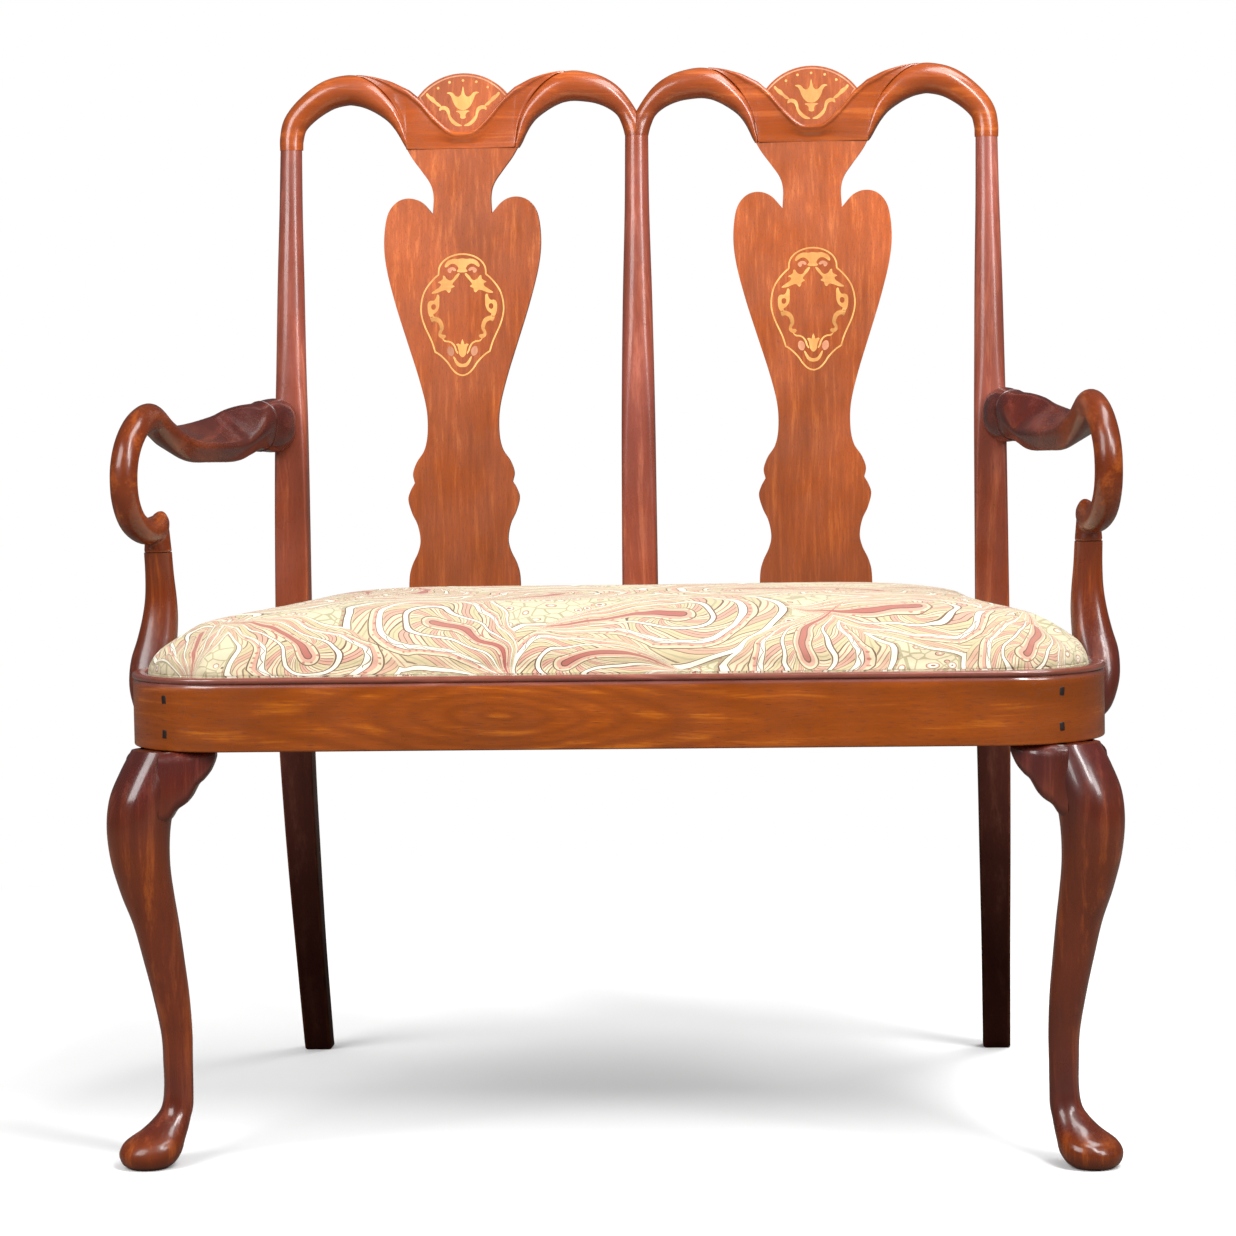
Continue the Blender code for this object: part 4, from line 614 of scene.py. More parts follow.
def read(items, field, width=1, kind=float):
    """One field of a mesh's items as an array."""
    values = np.empty(len(items) * width, dtype=kind)
    items.foreach_get(field, values)
    return values.reshape(-1, width) if width > 1 else values


def mark(mesh, name, values, kind="FLOAT", field="value"):
    """Note a number or a vector on each point of a mesh."""
    made = mesh.attributes.get(name) or mesh.attributes.new(name, kind, "POINT")
    made.data.foreach_set(field, values)


def mark_wear_and_highlight(mesh, most):
    """Note on each point how far it stands proud or lies sunk, from the bend of the surface about it."""
    centre = read(mesh.polygons, "center", 3)
    normal = read(mesh.polygons, "normal", 3)
    owner = np.repeat(np.arange(len(centre)), read(mesh.polygons, "loop_total", kind=np.int64))
    loop_edge = read(mesh.loops, "edge_index", kind=np.int64)
    order = np.argsort(loop_edge, kind="stable")
    edges = loop_edge[order]
    pairs = np.flatnonzero(edges[1:] == edges[:-1])
    first, second = owner[order[pairs]], owner[order[pairs + 1]]
    apart = centre[second] - centre[first]
    angle = np.arccos(np.clip((normal[first] * normal[second]).sum(1), -1, 1))
    bend = -np.sign((normal[first] * apart).sum(1)) * angle / (np.linalg.norm(apart, axis=1) + 1e-9)
    ends = read(mesh.edges, "vertices", 2, np.int64)[edges[pairs]]
    total, number = np.zeros((2, len(mesh.vertices)))
    for column in (0, 1):
        np.add.at(total, ends[:, column], bend)
        np.add.at(number, ends[:, column], 1)
    value = total / np.maximum(number, 1)
    # Proud edges get paler colour, as wear and as a painted highlight, and sunk hollows get darker colour.
    for name, share in (("worn", 1), ("grime", -1)):
        mark(mesh, name, np.clip((share * value - SLACK_BEND) / (TIGHT_BEND - SLACK_BEND), 0, 1) * most)


def placed(name, data):
    """A new object in the scene."""
    made = bpy.data.objects.new(name, data)
    bpy.context.scene.collection.objects.link(made)
    return made


def dress(name, mesh, finish, nodes=(), body="frame", tone=None, flat=False, worn=1.0):
    """Put a finished mesh in the scene, as a piece that rides on its body and stands for its solids.

    tone gives each point its share of the lighter colour, flat keeps broad front and back faces flat, and worn
    is how far its edges are made paler, as wear and as a painted highlight.
    """
    mesh.name = name
    mesh.materials.clear()
    mesh.materials.append(finish)
    mesh.shade_smooth()
    mesh.set_sharp_from_angle(angle=EDGE_ANGLE)
    if flat:
        for face in mesh.polygons:
            face.use_smooth = abs(face.normal.y) < FLAT_FACE
    mark_wear_and_highlight(mesh, worn)
    if tone:
        mark(mesh, "tone", [tone(vertex.co) for vertex in mesh.vertices])
    made = placed(name, mesh)
    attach(made, body)
    if nodes:
        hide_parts(*nodes)
    return made


def applied(made):
    """The mesh of an object with its modifiers made final. The object is removed."""
    bpy.context.view_layer.update()
    result = bpy.data.meshes.new_from_object(made.evaluated_get(bpy.context.evaluated_depsgraph_get()))
    bpy.data.objects.remove(made, do_unlink=True)
    return result


def worked(mesh, **modifiers):
    """A mesh after modifiers, each with its settings."""
    guide = placed("guide", mesh)
    for kind, settings in modifiers.items():
        modifier = guide.modifiers.new(kind, kind)
        for key, value in settings.items():
            setattr(modifier, key, value)
    return applied(guide)


def bevelled(mesh, width, segments=3):
    """A copy of a mesh with its sharp edges eased."""
    return worked(mesh, BEVEL=dict(width=width, segments=segments, limit_method="ANGLE",
                                   angle_limit=EASED_ANGLE))


def fused(mesh, cell, turns):
    """Shells run into one skin, with their meetings softened as a carver leaves them."""
    return worked(mesh, REMESH=dict(mode="VOXEL", voxel_size=cell), SMOOTH=dict(iterations=turns, factor=0.5))


def steps(value, *table):
    """A number read off a table of places and values, straight between them and level beyond its ends."""
    for (a, low), (b, high) in zip(table, table[1:]):
        if value <= b:
            return low + (high - low) * min(max((value - a) / (b - a), 0), 1)
    return table[-1][1]


def toned(axis, *table):
    """A piece's tone, read off a table along one axis. Along x it counts from the settee's middle."""
    return lambda p: steps(abs(p.x) if axis == "x" else getattr(p, axis), *table)


def back_front(z):
    """Where the front faces of the posts are at a height: raked above the seat, kicked back below it."""
    if z >= RAIL_TOP:
        s = (z - RAIL_TOP) / (HOOP_TOP - RAIL_TOP)
        return BACK_Y + BACK_LEAN * s + BACK_RAKE * s * s
    return BACK_Y + LEG_KICK_DEPTH * (max(KICK_TOP - z, 0) / KICK_TOP) ** KICK_POWER


def eased_foot(rows, ease):
    """Level rows with a small chamfer at the first one."""
    x, y, z, half_width, half_depth, roundness = rows[0]
    return [(x, y, z, half_width - ease, half_depth - ease, roundness),
            (x, y, z + ease, half_width, half_depth, roundness)] + rows[1:]


# ---- Seat outline ---------------------------------------------------------------------------------------

ARC_X = SEAT_HALF_WIDTH - CORNER_RADIUS
ARC_Y = FRONT_Y + CORNER_RADIUS
SIDE_BACK = Vector((-math.sin(SIDE_TAPER), math.cos(SIDE_TAPER)))
DIAGONAL = math.sqrt(0.5)
EIGHTHS = [k * math.pi / 4 for k in range(8)]

# A station is a place on the seat's outline, and the way in from it.


def arc_station(angle):
    out = Vector((math.cos(angle), math.sin(angle)))
    return Vector((ARC_X, ARC_Y)) + out * CORNER_RADIUS, -out


def side_station(y):
    """The outer face of the side rail where it ends square to the seat's length."""
    start, _ = arc_station(SIDE_TAPER)
    return start + SIDE_BACK * ((y - start.y) / SIDE_BACK.y), Vector((-1 / math.cos(SIDE_TAPER), 0))


def sided(stations, side):
    return [(Vector((side * p.x, p.y)), Vector((side * d.x, d.y))) for p, d in stations]


def seat_stations(steps, *further):
    """Stations from side to side round the front of the seat, and on along its sides."""
    first, last = -math.pi / 2, SIDE_TAPER
    right = [arc_station(first + (last - first) * k / steps) for k in range(steps + 1)] + list(further)
    return sided(right, -1)[::-1] + right


def seat_outline(inset, back, steps):
    return [place + inward * inset for place, inward in seat_stations(steps, side_station(back))]


def even(stations):
    """Stations with more of them along the straight runs."""
    result = []
    for (p, d), (q, e) in zip(stations, stations[1:]):
        parts = max(1, round((q - p).length / STATION_STEP))
        result += [(p.lerp(q, k / parts), d.lerp(e, k / parts)) for k in range(parts)]
    return result + [stations[-1]]


# ---- Rails ----------------------------------------------------------------------------------------------

BEAD_STEPS = 8
BEAD_PROUD = 0.001  # less than the solid's lip, so that the groove below it is seen
EDGE_EASE = 0.0018
FACE_SHARES = (0.2, 0.4, 0.6, 0.8)
LIP_SHOULDER = ((0, 0.0034), (0.0002, 0.0028), (0.0014, 0.0006), (0.0019, 0.0002), (0.0019, 0))
LIP_INSIDE = ((0.002, 0), (0.0006, 0.0006), (0, 0.002))
# How far the rails' edges turn paler, as wear and as a painted highlight
RAIL_WEAR_AND_HIGHLIGHT = 0.35
PEG_LEANS = (3, -4)


def rail_profile():
    """The rails' section: inset from the outer face, and height, with a round bead at the top."""
    bottom, ledge, lip = RAIL_TOP - RAIL_HEIGHT, RAIL_TOP - REBATE_DEPTH, RAIL_TOP - LIP_HEIGHT
    points = [(RAIL_THICKNESS, bottom)]
    for k in range(BEAD_STEPS):
        angle = math.pi / 2 * k / (BEAD_STEPS - 1)
        points.append((EDGE_EASE * (1 - math.sin(angle)), bottom + EDGE_EASE * (1 - math.cos(angle))))
    points += [(0, bottom + RAIL_HEIGHT * share) for share in FACE_SHARES]
    points += [(inset, lip - below) for inset, below in LIP_SHOULDER]
    radius = LIP_HEIGHT / 2
    for k in range(BEAD_STEPS + 1):
        angle = -math.pi / 2 + math.pi * k / BEAD_STEPS
        points.append((radius - BEAD_PROUD - radius * math.cos(angle), lip + radius + radius * math.sin(angle)))
    points += [(LIP_WIDTH - inset, RAIL_TOP - below) for inset, below in LIP_INSIDE]
    return points + [(LIP_WIDTH, ledge), (RAIL_THICKNESS, ledge)]


def rail_mesh(stations, seed):
    """A rail along its stations. Its grain follows the rail, as its figured face does."""
    own_board, profile = board("x", "y", "z", seed), rail_profile()
    rings, grains = [], []
    run, before = 0.0, stations[0][0]
    for place, inward in stations:
        run += (place - before).length
        before = place
        rings.append([(*(place + inward * inset), z) for inset, z in profile])
        grains.append([own_board((run, z, inset)) for inset, z in profile])
    return Shape().loft(rings, grains).mesh()


def rail_tone(p):
    """The lip's bead is darker than the face, and the ends are darker where hands and polish have been."""
    lip = steps(p.z, (RAIL_TOP - LIP_HEIGHT - LIP_SHOULDER[0][1] - 0.0002, 1.15),
                (RAIL_TOP - LIP_HEIGHT - LIP_SHOULDER[1][1], 0.1))
    return lip * steps(abs(p.x), (0.38, 1.0), (0.445, 0.6))


def build_rails():
    dress("dressed_front_rail", rail_mesh(even(seat_stations(CORNER_STEPS)), 3.1), RAIL_WOOD,
          ["front_rail"], tone=rail_tone, worn=RAIL_WEAR_AND_HIGHLIGHT)
    start, inward = arc_station(SIDE_TAPER)
    stations = even([(start + SIDE_BACK * GAP, inward), side_station(BACK_Y - GAP)])
    for word, side in SIDES:
        dress(f"dressed_side_rail_{word}", rail_mesh(sided(stations, side), 5.3 + side), RAIL_WOOD,
              [f"side_rail_{word}"], tone=rail_tone, worn=RAIL_WEAR_AND_HIGHLIGHT)
    half = POST_SPACING - POST_WIDTH / 2 - GAP
    low, ledge = RAIL_TOP - RAIL_HEIGHT, RAIL_TOP - REBATE_DEPTH
    inside, outside = BACK_Y - BACK_RAIL_REACH, BACK_Y - BACK_RAIL_REACH + BACK_RAIL_THICKNESS
    profile = ((inside, low), (outside, low), (outside, RAIL_TOP), (BACK_Y - GAP, RAIL_TOP),
               (BACK_Y - GAP, ledge), (inside, ledge))
    shape = Shape().loft([[(x, y, z) for y, z in profile] for x in (-half, half)])
    dress("dressed_back_rail", bevelled(shape.mesh(board("x", "z", "y", 7.7)), 0.0012), DARK_WOOD,
          ["back_rail"])


def build_pegs():
    """Four dark oak pegs, each a little out of true, that lock the corner joints."""
    place, inward = arc_station(PEG_ANGLE)
    size = Matrix.Diagonal((PEG_WIDTH - GAP, PEG_LENGTH, PEG_HEIGHT - GAP, 1))
    sunk = Matrix.Translation((0, PEG_LENGTH / 2 - GAP, 0))
    for word, side in SIDES:
        turn = Matrix.Rotation(math.atan2(inward.y, side * inward.x) - math.pi / 2, 4, "Z")
        for k, level in enumerate(("upper", "lower")):
            stand = Matrix.Translation((side * place.x, place.y, RAIL_TOP - PEG_SHARES[k] * RAIL_HEIGHT)) @ turn
            lean = Matrix.Rotation(math.radians(PEG_LEANS[k] * side), 4, "Y")
            shape = Shape()
            bmesh.ops.create_cube(shape.bm, size=1, matrix=stand @ sunk @ lean @ size)
            mesh = bevelled(shape.mesh(board("y", "x", "z", 2 + k + side)), 0.0007)
            dress(f"dressed_peg_{level}_{word}", mesh, PEG_WOOD, [f"rail_peg_{level}_{word}"])


# ---- Back: posts, stile and crests ----------------------------------------------------------------------

FOOT_EASE = 0.0015
MM = 0.001
PANEL_FRONT = (
    # from the top edge down, and back from the front plane, in millimetres: a bead, and into the hollow
    (0.0, 5.2), (0.15, 3.6), (0.6, 2.1), (1.4, 0.9), (2.6, 0.2), (4.0, 0.0), (5.2, 0.3), (6.2, 1.0), (7.1, 1.8),
    (8.4, 2.3), (10.2, 2.6),
)
PANEL_FOOT = (
    # up from the lower edge, and back from the front plane, in millimetres: the roll into the groove
    (7.5, 2.45), (5.4, 2.4), (3.6, 2.45), (2.2, 2.65), (1.2, 3.1), (0.5, 3.8), (0.1, 4.9), (0.0, 6.2),
)
PANEL_FULL = 0.024  # a panel at least this high has its mouldings at full size
PANEL_ROOM = 0.009  # and so has one with this half depth
PANEL_LEAST = 0.002
PANEL_SINK = 0.0049
PANEL_EASE = 0.0022
PANEL_CORNER = ((0, 1), (0.3, 0.3), (1, 0))
# Feet dark with stain and painted shade, red-brown from seat to arms, and above them purple-brown with painted
# highlight
POST_TONE = toned("z", (0.1, -0.92), (0.2, -0.84), (0.3, -0.7), (0.44, -0.52), (0.47, 0.9), (0.6, 0.7),
                  (0.68, 0.2), (0.9, 0.1))
STILE_TONE = toned("z", (0.46, 0.8), (0.6, 0.5), (0.7, 0.2), (0.9, 0.15), (0.95, 0.6))
# Lighter at the hoops' outer bends and on the panel, and darker down to the centre stile
CREST_TONE = toned("x", (0.0, 0.55), (0.04, 0.6), (0.12, 0.75), (0.18, 0.9), (0.3, 0.8), (0.35, 1.0))


def upright(shares, low, high, spacing, width, depth, per_span=ROW_STEPS):
    """Level rows of a post or a stile that follows the back's rake."""
    rows = []
    for height, across, through, roundness in smooth_rows(shares, per_span):
        z = low + height * (high - low)
        x = spacing + POST_SPLAY * max(KICK_TOP - z, 0) / KICK_TOP
        half_depth = through * depth / 2
        rows.append((x, back_front(z) + half_depth, z, across * width / 2, half_depth, roundness))
    return rows


def build_posts():
    rows = eased_foot(upright(POST_SHARES, 0, CREST_JOINT, POST_SPACING, POST_WIDTH, POST_DEPTH), FOOT_EASE)
    for word, side in SIDES:
        mesh = Shape().loft(level_rings(rows, side)).mesh(board("z", "x", "y", 11 + side))
        dress(f"dressed_post_{word}", mesh, DARK_WOOD, [f"rear_post_{word}"], tone=POST_TONE)


def build_centre_stile():
    rows = upright(CENTRE_SHARES, RAIL_TOP + GAP, CENTRE_JOINT, 0, CENTRE_WIDTH, CENTRE_DEPTH, 3 * ROW_STEPS)
    mesh = Shape().loft(level_rings(rows)).mesh(board("z", "x", "y", 15.2))
    dress("dressed_centre_stile", mesh, DARK_WOOD, ["centre_stile"], tone=STILE_TONE)


def crest_y(z):
    return back_front(z) + CREST_DEPTH / 2


def rod_rings(shares, side, start_x, start_z, end_x):
    """A round rod, from its joint with a post or the stile, over the hoop and down behind the saddle."""
    rows = []
    for across, height, width, depth in smooth_rows(shares):
        z = start_z + height * (HOOP_TOP - ROD_RADIUS - start_z)
        x = start_x + across * (end_x - start_x)
        rows.append((x, crest_y(z), z, width * ROD_RADIUS, depth * ROD_RADIUS, 1.0, 0.0))
    rings = path_rings(rows, side)
    for k, z in ((0, start_z), (-1, SPLAT_JOINT + GAP)):
        rings[k] = [Vector((p.x, p.y, z)) for p in rings[k]]
    return rings


def panel_ring(side, x, top, bottom, half_depth, sink):
    """The saddle's section at a place across: beaded lip, hollow face, rolled lower edge and plain back."""
    size = min(1.0, (top - bottom) / PANEL_FULL)
    cut = MM * size * min(1.0, half_depth / PANEL_ROOM)
    front = [(top - t * MM * size, half_depth - d * cut) for t, d in PANEL_FRONT]
    foot = [(bottom + t * MM * size, half_depth - d * cut * (1 - sink) - sink * PANEL_SINK)
            for t, d in PANEL_FOOT]
    face = [tuple(a + (b - a) * k / 6 for a, b in zip(front[-1], foot[0])) for k in range(1, 6)]
    ease = PANEL_EASE * size
    back = [(bottom + ease * up, half_depth - ease * into) for up, into in PANEL_CORNER]
    back.append(((top + bottom) / 2, half_depth))
    back += [(top - ease * down, half_depth - ease * into) for down, into in reversed(PANEL_CORNER)]
    outline = [(z, -b) for z, b in front + face + foot] + back
    return [Vector((side * x, crest_y(z) + b, z)) for z, b in outline]


def panel_rings(side):
    rows = set()
    for across, drop, under, depth, sink in smooth_rows(SADDLE_SHARES, 4):
        top = HOOP_TOP - max(drop, 0) * SADDLE_DIP
        bottom = min(SPLAT_JOINT + GAP + max(under, 0) * (HOOP_TOP - SPLAT_JOINT), top - PANEL_LEAST)
        for reach in (-HOOP_INNER_REACH, HOOP_REACH):
            rows.add((UNIT_X + across * reach, top, bottom, depth * CREST_DEPTH / 2, min(max(sink, 0), 1)))
    return [panel_ring(side, *row) for row in sorted(rows)]


def build_crests():
    for word, side in SIDES:
        shape = Shape().loft(panel_rings(side))
        shape.loft(rod_rings(OUTER_ROD_SHARES, side, POST_SPACING, CREST_JOINT + GAP, UNIT_X + ROD_END_REACH))
        shape.loft(rod_rings(INNER_ROD_SHARES, side, 0, CENTRE_JOINT + GAP, UNIT_X - ROD_END_REACH))
        shape.trim((side * GAP / 2, 0, 0), (-side, 0, 0))
        dress(f"dressed_crest_{word}", shape.mesh(board("x", "z", "y", 21 + 2 * side)), CREST_WOOD,
              [f"crest_{word}"], tone=CREST_TONE, worn=0.25)


# ---- Fans, splats and their marquetry -------------------------------------------------------------------

SPLAT_LOW = RAIL_TOP + SHOE_HEIGHT - SHOE_SLOT + GAP
FAN_LOW = HOOP_TOP - SADDLE_DIP - FAN_FOOT
FAN_STEPS = 40
PLATE_STEP = 0.012
# Lighter towards the shoulders, and darker down to the shoe
SPLAT_TONE = toned("z", (0.48, 0.05), (0.62, 0.3), (0.72, 0.75), (0.82, 1.1), (0.9, 0.95))


def plate(outlines, thickness, place, levels, step=PLATE_STEP):
    """Flat outlines, filled, cut level by level, and laid onto a curved face by place(x, height, off)."""
    curve = bpy.data.curves.new("plate", "CURVE")
    curve.dimensions = "2D"
    curve.fill_mode = "BOTH"
    curve.extrude = thickness / 2
    for outline in outlines:
        spline = curve.splines.new("POLY")
        spline.points.add(len(outline) - 1)
        for point, (x, z) in zip(spline.points, outline):
            point.co = (x, z, 0, 1)
        spline.use_cyclic_u = True
    shape = Shape(applied(placed("plate", curve)))
    bmesh.ops.remove_doubles(shape.bm, verts=shape.bm.verts, dist=WELD)
    bmesh.ops.recalc_face_normals(shape.bm, faces=shape.bm.faces)
    low, high = levels
    for k in range(1, max(2, math.ceil((high - low) / step))):
        shape.cut((0, low + k * step, 0), (0, 1, 0), dist=WELD)
    for vertex in shape.bm.verts:
        vertex.co = place(*vertex.co)
    bmesh.ops.recalc_face_normals(shape.bm, faces=shape.bm.faces)
    return shape


def fan_place(side):
    base = HOOP_TOP - SADDLE_DIP
    lean = (crest_y(HOOP_TOP) - crest_y(SPLAT_JOINT)) / (HOOP_TOP - SPLAT_JOINT)
    front = back_front(base) + FAN_SETBACK + FAN_THICKNESS / 2
    return lambda x, z, off: Vector((side * UNIT_X + x, front + (z - base) * lean - off, z))


def splat_place(side):
    low, middle = RAIL_TOP + SHOE_HEIGHT, SPLAT_SETBACK + SPLAT_THICKNESS / 2
    return lambda x, z, off: Vector((side * UNIT_X + x, back_front(max(z, low)) + middle - off, z))


def fan_outline(ease=0.0):
    """A low arch over a narrower foot, moved in by an ease."""
    radius = (FAN_HALF_WIDTH ** 2 + FAN_RISE ** 2) / (2 * FAN_RISE)
    middle = HOOP_TOP - FAN_SIDE_DROP + FAN_RISE - radius
    turns = [math.asin(FAN_HALF_WIDTH / radius) * (1 - 2 * k / FAN_STEPS) for k in range(FAN_STEPS + 1)]
    top = [((radius - ease) * math.sin(a), middle + (radius - ease) * math.cos(a)) for a in turns]
    return top + [(ease - FAN_HALF_WIDTH / 2, FAN_LOW), (FAN_HALF_WIDTH / 2 - ease, FAN_LOW)]


def build_plates():
    half = [(p[0] * SPLAT_HALF_WIDTH, SPLAT_LOW + p[1] * (SPLAT_JOINT - SPLAT_LOW), len(p) > 2)
            for p in SPLAT_SHARES]
    outline = smooth_outline(half + [(-x, z, sharp) for x, z, sharp in reversed(half)], 6)
    for word, side in SIDES:
        splat = plate([outline], SPLAT_THICKNESS, splat_place(side), (SPLAT_LOW, SPLAT_JOINT))
        fan = plate([fan_outline()], FAN_THICKNESS, fan_place(side), (FAN_LOW, HOOP_TOP), 0.02)
        for name, node, shape, seed, ease, segments in (("splat", "splat", splat, 31, 0.0009, 2),
                                                        ("fan", "crest_fan", fan, 37, 0.0012, 3)):
            mesh = bevelled(shape.mesh(board("z", "x", "y", seed + side)), ease, segments)
            dress(f"dressed_{name}_{word}", mesh, SPLAT_WOOD, [f"{node}_{word}"], tone=SPLAT_TONE,
                  flat=True)


SPLAT_GRID = 0.0001443
SPLAT_INLAY_Z = 0.7743
FAN_GRID = 0.000168
INLAY_MIDDLE = 378
INLAY_THICKNESS = 0.0008
INLAY_PROUD = 0.00012
STRINGING = 11

# Marquetry drawn on a fine grid: across and down from a corner. Half shapes are mirrored about the middle.
CARTOUCHE = (
    (378, 72), (335, 76), (290, 90), (250, 114), (222, 145), (208, 180), (205, 218, True), (183, 236),
    (155, 265), (126, 302), (104, 340), (89, 385), (81, 435), (81, 485), (92, 540), (112, 595), (138, 650),
    (160, 700), (174, 745), (180, 765, True), (212, 785), (245, 815), (272, 845), (298, 884), (335, 920),
    (378, 934),
)
SPRAY = (
    (378, 108), (345, 112), (318, 110), (288, 118), (266, 134), (254, 158), (262, 170), (280, 158),
    (300, 146), (322, 146), (342, 160), (352, 180), (340, 198), (360, 206), (378, 206),
)
CURL = (
    (274, 186), (296, 170), (322, 172), (336, 190), (322, 196), (306, 190), (298, 208), (282, 206),
)
WING = (
    (350, 212), (328, 230), (312, 254), (292, 262), (268, 250), (256, 232), (243, 228), (240, 250),
    (224, 264), (206, 274), (226, 286), (218, 306), (192, 324), (158, 350), (196, 350), (236, 334),
    (262, 330), (282, 348), (296, 336), (300, 318), (324, 304), (308, 290), (322, 268), (344, 244),
    (360, 218),
)
LOOP_OUTER = (
    (154, 402), (176, 402), (192, 384), (200, 360), (214, 366), (216, 400), (214, 440), (206, 466),
    (190, 486), (172, 498), (174, 512), (158, 520), (142, 504), (133, 470), (134, 420),
)
LOOP_INNER = (
    (160, 434), (176, 426), (190, 434), (190, 454), (176, 466), (160, 458),
)
SCROLL = (
    (150, 520), (176, 512), (206, 520), (230, 540), (244, 574), (244, 604), (230, 628), (232, 640),
    (252, 642), (262, 654), (250, 668), (228, 668), (210, 652), (208, 628), (218, 602), (214, 574),
    (198, 552), (176, 546), (164, 556),
)
SWEEP = (
    (236, 668), (256, 682), (286, 686), (312, 700), (330, 726), (338, 752), (348, 772), (342, 778),
    (328, 756), (318, 728), (302, 706), (280, 696), (252, 692),
)
TULIP = (
    (378, 676), (370, 694), (364, 712), (348, 706), (334, 712), (344, 728), (350, 752), (354, 778),
    (366, 796), (378, 802),
)
BOAT = (
    (378, 872), (352, 868), (334, 852), (320, 826), (312, 798), (322, 800), (338, 824), (354, 842),
    (378, 848),
)
BLOB = (
    (276, 730), (296, 726), (314, 742), (318, 770), (306, 792), (284, 786), (270, 762),
)
FAN_CROWN = (
    (378, 152), (372, 176), (366, 202), (350, 216), (332, 210), (316, 192), (296, 186), (280, 192),
    (296, 200), (308, 218), (318, 246), (334, 274), (356, 292), (378, 297),
)
FAN_FOOT_LEAF = (
    (378, 300), (352, 300), (336, 304), (352, 312), (362, 326), (362, 344), (378, 350),
)
FAN_SCROLL = (
    (238, 276), (262, 270), (288, 282), (298, 304), (302, 330), (318, 352), (342, 374), (372, 392),
    (340, 394), (310, 374), (292, 346), (284, 318), (272, 298), (252, 292), (234, 298),
)
FAN_LEAF = (
    (160, 190), (176, 206), (198, 218), (214, 240), (236, 258), (244, 272), (222, 270), (206, 254),
    (184, 240), (162, 216), (152, 200),
)
FAN_DOTS = (
    (378, 116), (296, 126), (226, 160),
)
FAN_DOT = 8
SPLAT_INLAY_ROW = 502
FAN_INLAY_ROW = 70
BAND_INSET = 0.0018
BAND_WIDTH = 0.0014

def drawn(points, grid, z, sign=1):
    """A drawn outline in metres, on one side of the middle."""
    return [((p[0] - INLAY_MIDDLE) * grid * sign, z - p[1] * grid, len(p) > 2) for p in points]


def whole(drawings, grid, z, steps=3):
    """Outlines whose other halves are their mirror images."""
    result = []
    for points in drawings:
        half = drawn(points, grid, z)
        other = [(-x, y, sharp) for x, y, sharp in reversed(half) if abs(x) > GAP]
        result.append(smooth_outline(half + other, steps))
    return result


def pairs(drawings, grid, z):
    """Outlines that come once on each side."""
    return [smooth_outline(drawn(points, grid, z, sign), 3) for sign in (-1, 1) for points in drawings]


def narrowed(outline, width):
    """A closed outline moved inwards by a width."""
    after = outline[1:] + outline[:1]
    if sum(a[0] * b[1] - b[0] * a[1] for a, b in zip(outline, after)) < 0:
        width = -width
    result = []
    for (ax, ay), (x, y), (bx, by) in zip(outline[-1:] + outline[:-1], outline, after):
        length = math.hypot(bx - ax, by - ay) or 1.0
        result.append((x - (by - ay) / length * width, y + (bx - ax) / length * width))
    return result


def let_in(name, outlines, base, half_thickness, finish, seed):
    """Thin veneer shapes let into a face, a hair proud of it as old marquetry stands."""
    off = half_thickness + INLAY_PROUD - INLAY_THICKNESS / 2
    heights = [z for outline in outlines for _, z in outline]
    shape = plate(outlines, INLAY_THICKNESS, lambda x, z, depth: base(x, z, depth + off),
                  (min(heights), max(heights)))
    dress(name, shape.mesh(board("z", "x", "y", seed)), finish, flat=True)


def build_marquetry():
    top = SPLAT_INLAY_Z + SPLAT_INLAY_ROW * SPLAT_GRID
    [ring] = whole([CARTOUCHE], SPLAT_GRID, top, 4)
    pale = [ring, narrowed(ring, STRINGING * SPLAT_GRID)] + whole((SPRAY, TULIP, BOAT), SPLAT_GRID, top)
    pale += pairs((WING, LOOP_OUTER, LOOP_INNER, SCROLL, SWEEP), SPLAT_GRID, top)
    red = pairs((CURL, BLOB), SPLAT_GRID, top)
    top = HOOP_TOP + FAN_INLAY_ROW * FAN_GRID
    fan = whole((FAN_CROWN, FAN_FOOT_LEAF), FAN_GRID, top) + pairs((FAN_SCROLL, FAN_LEAF), FAN_GRID, top)
    for x, y in FAN_DOTS:
        dot = [(x + FAN_DOT * math.cos(a), y + FAN_DOT * math.sin(a)) for a in EIGHTHS]
        signs = (-1, 1) if x != INLAY_MIDDLE else (1,)
        fan += [smooth_outline(drawn(dot, FAN_GRID, top, sign), 2) for sign in signs]
    edge = fan_outline(BAND_INSET)
    band = [edge, narrowed(edge, BAND_WIDTH)]
    for word, side in SIDES:
        for name, outlines, place, thickness, finish, seed in (
                ("splat_marquetry", pale, splat_place, SPLAT_THICKNESS, SATINWOOD, 71),
                ("splat_marquetry_red", red, splat_place, SPLAT_THICKNESS, FRUITWOOD, 73),
                ("fan_marquetry", fan, fan_place, FAN_THICKNESS, SATINWOOD, 75),
                ("fan_edge_band", band, fan_place, FAN_THICKNESS, FRUITWOOD, 77)):
            let_in(f"{name}_{word}", outlines, place(side), thickness / 2, finish, seed + side)


SHOE_PROFILE = (
    # back from the front of the posts, and up from the rail
    (0, 0), (SHOE_DEPTH, 0), (SHOE_DEPTH, 0.034), (0.0245, 0.0368), (0.022, SHOE_HEIGHT), (0.004, SHOE_HEIGHT),
    (0.003, 0.0376), (0.0024, 0.0366), (0.0024, 0.0345), (0.0032, 0.0315), (0.0048, 0.027), (0.0052, 0.0225),
    (0.0042, 0.018), (0.002, 0.0145), (0.0006, 0.012), (0, 0.0095),
)


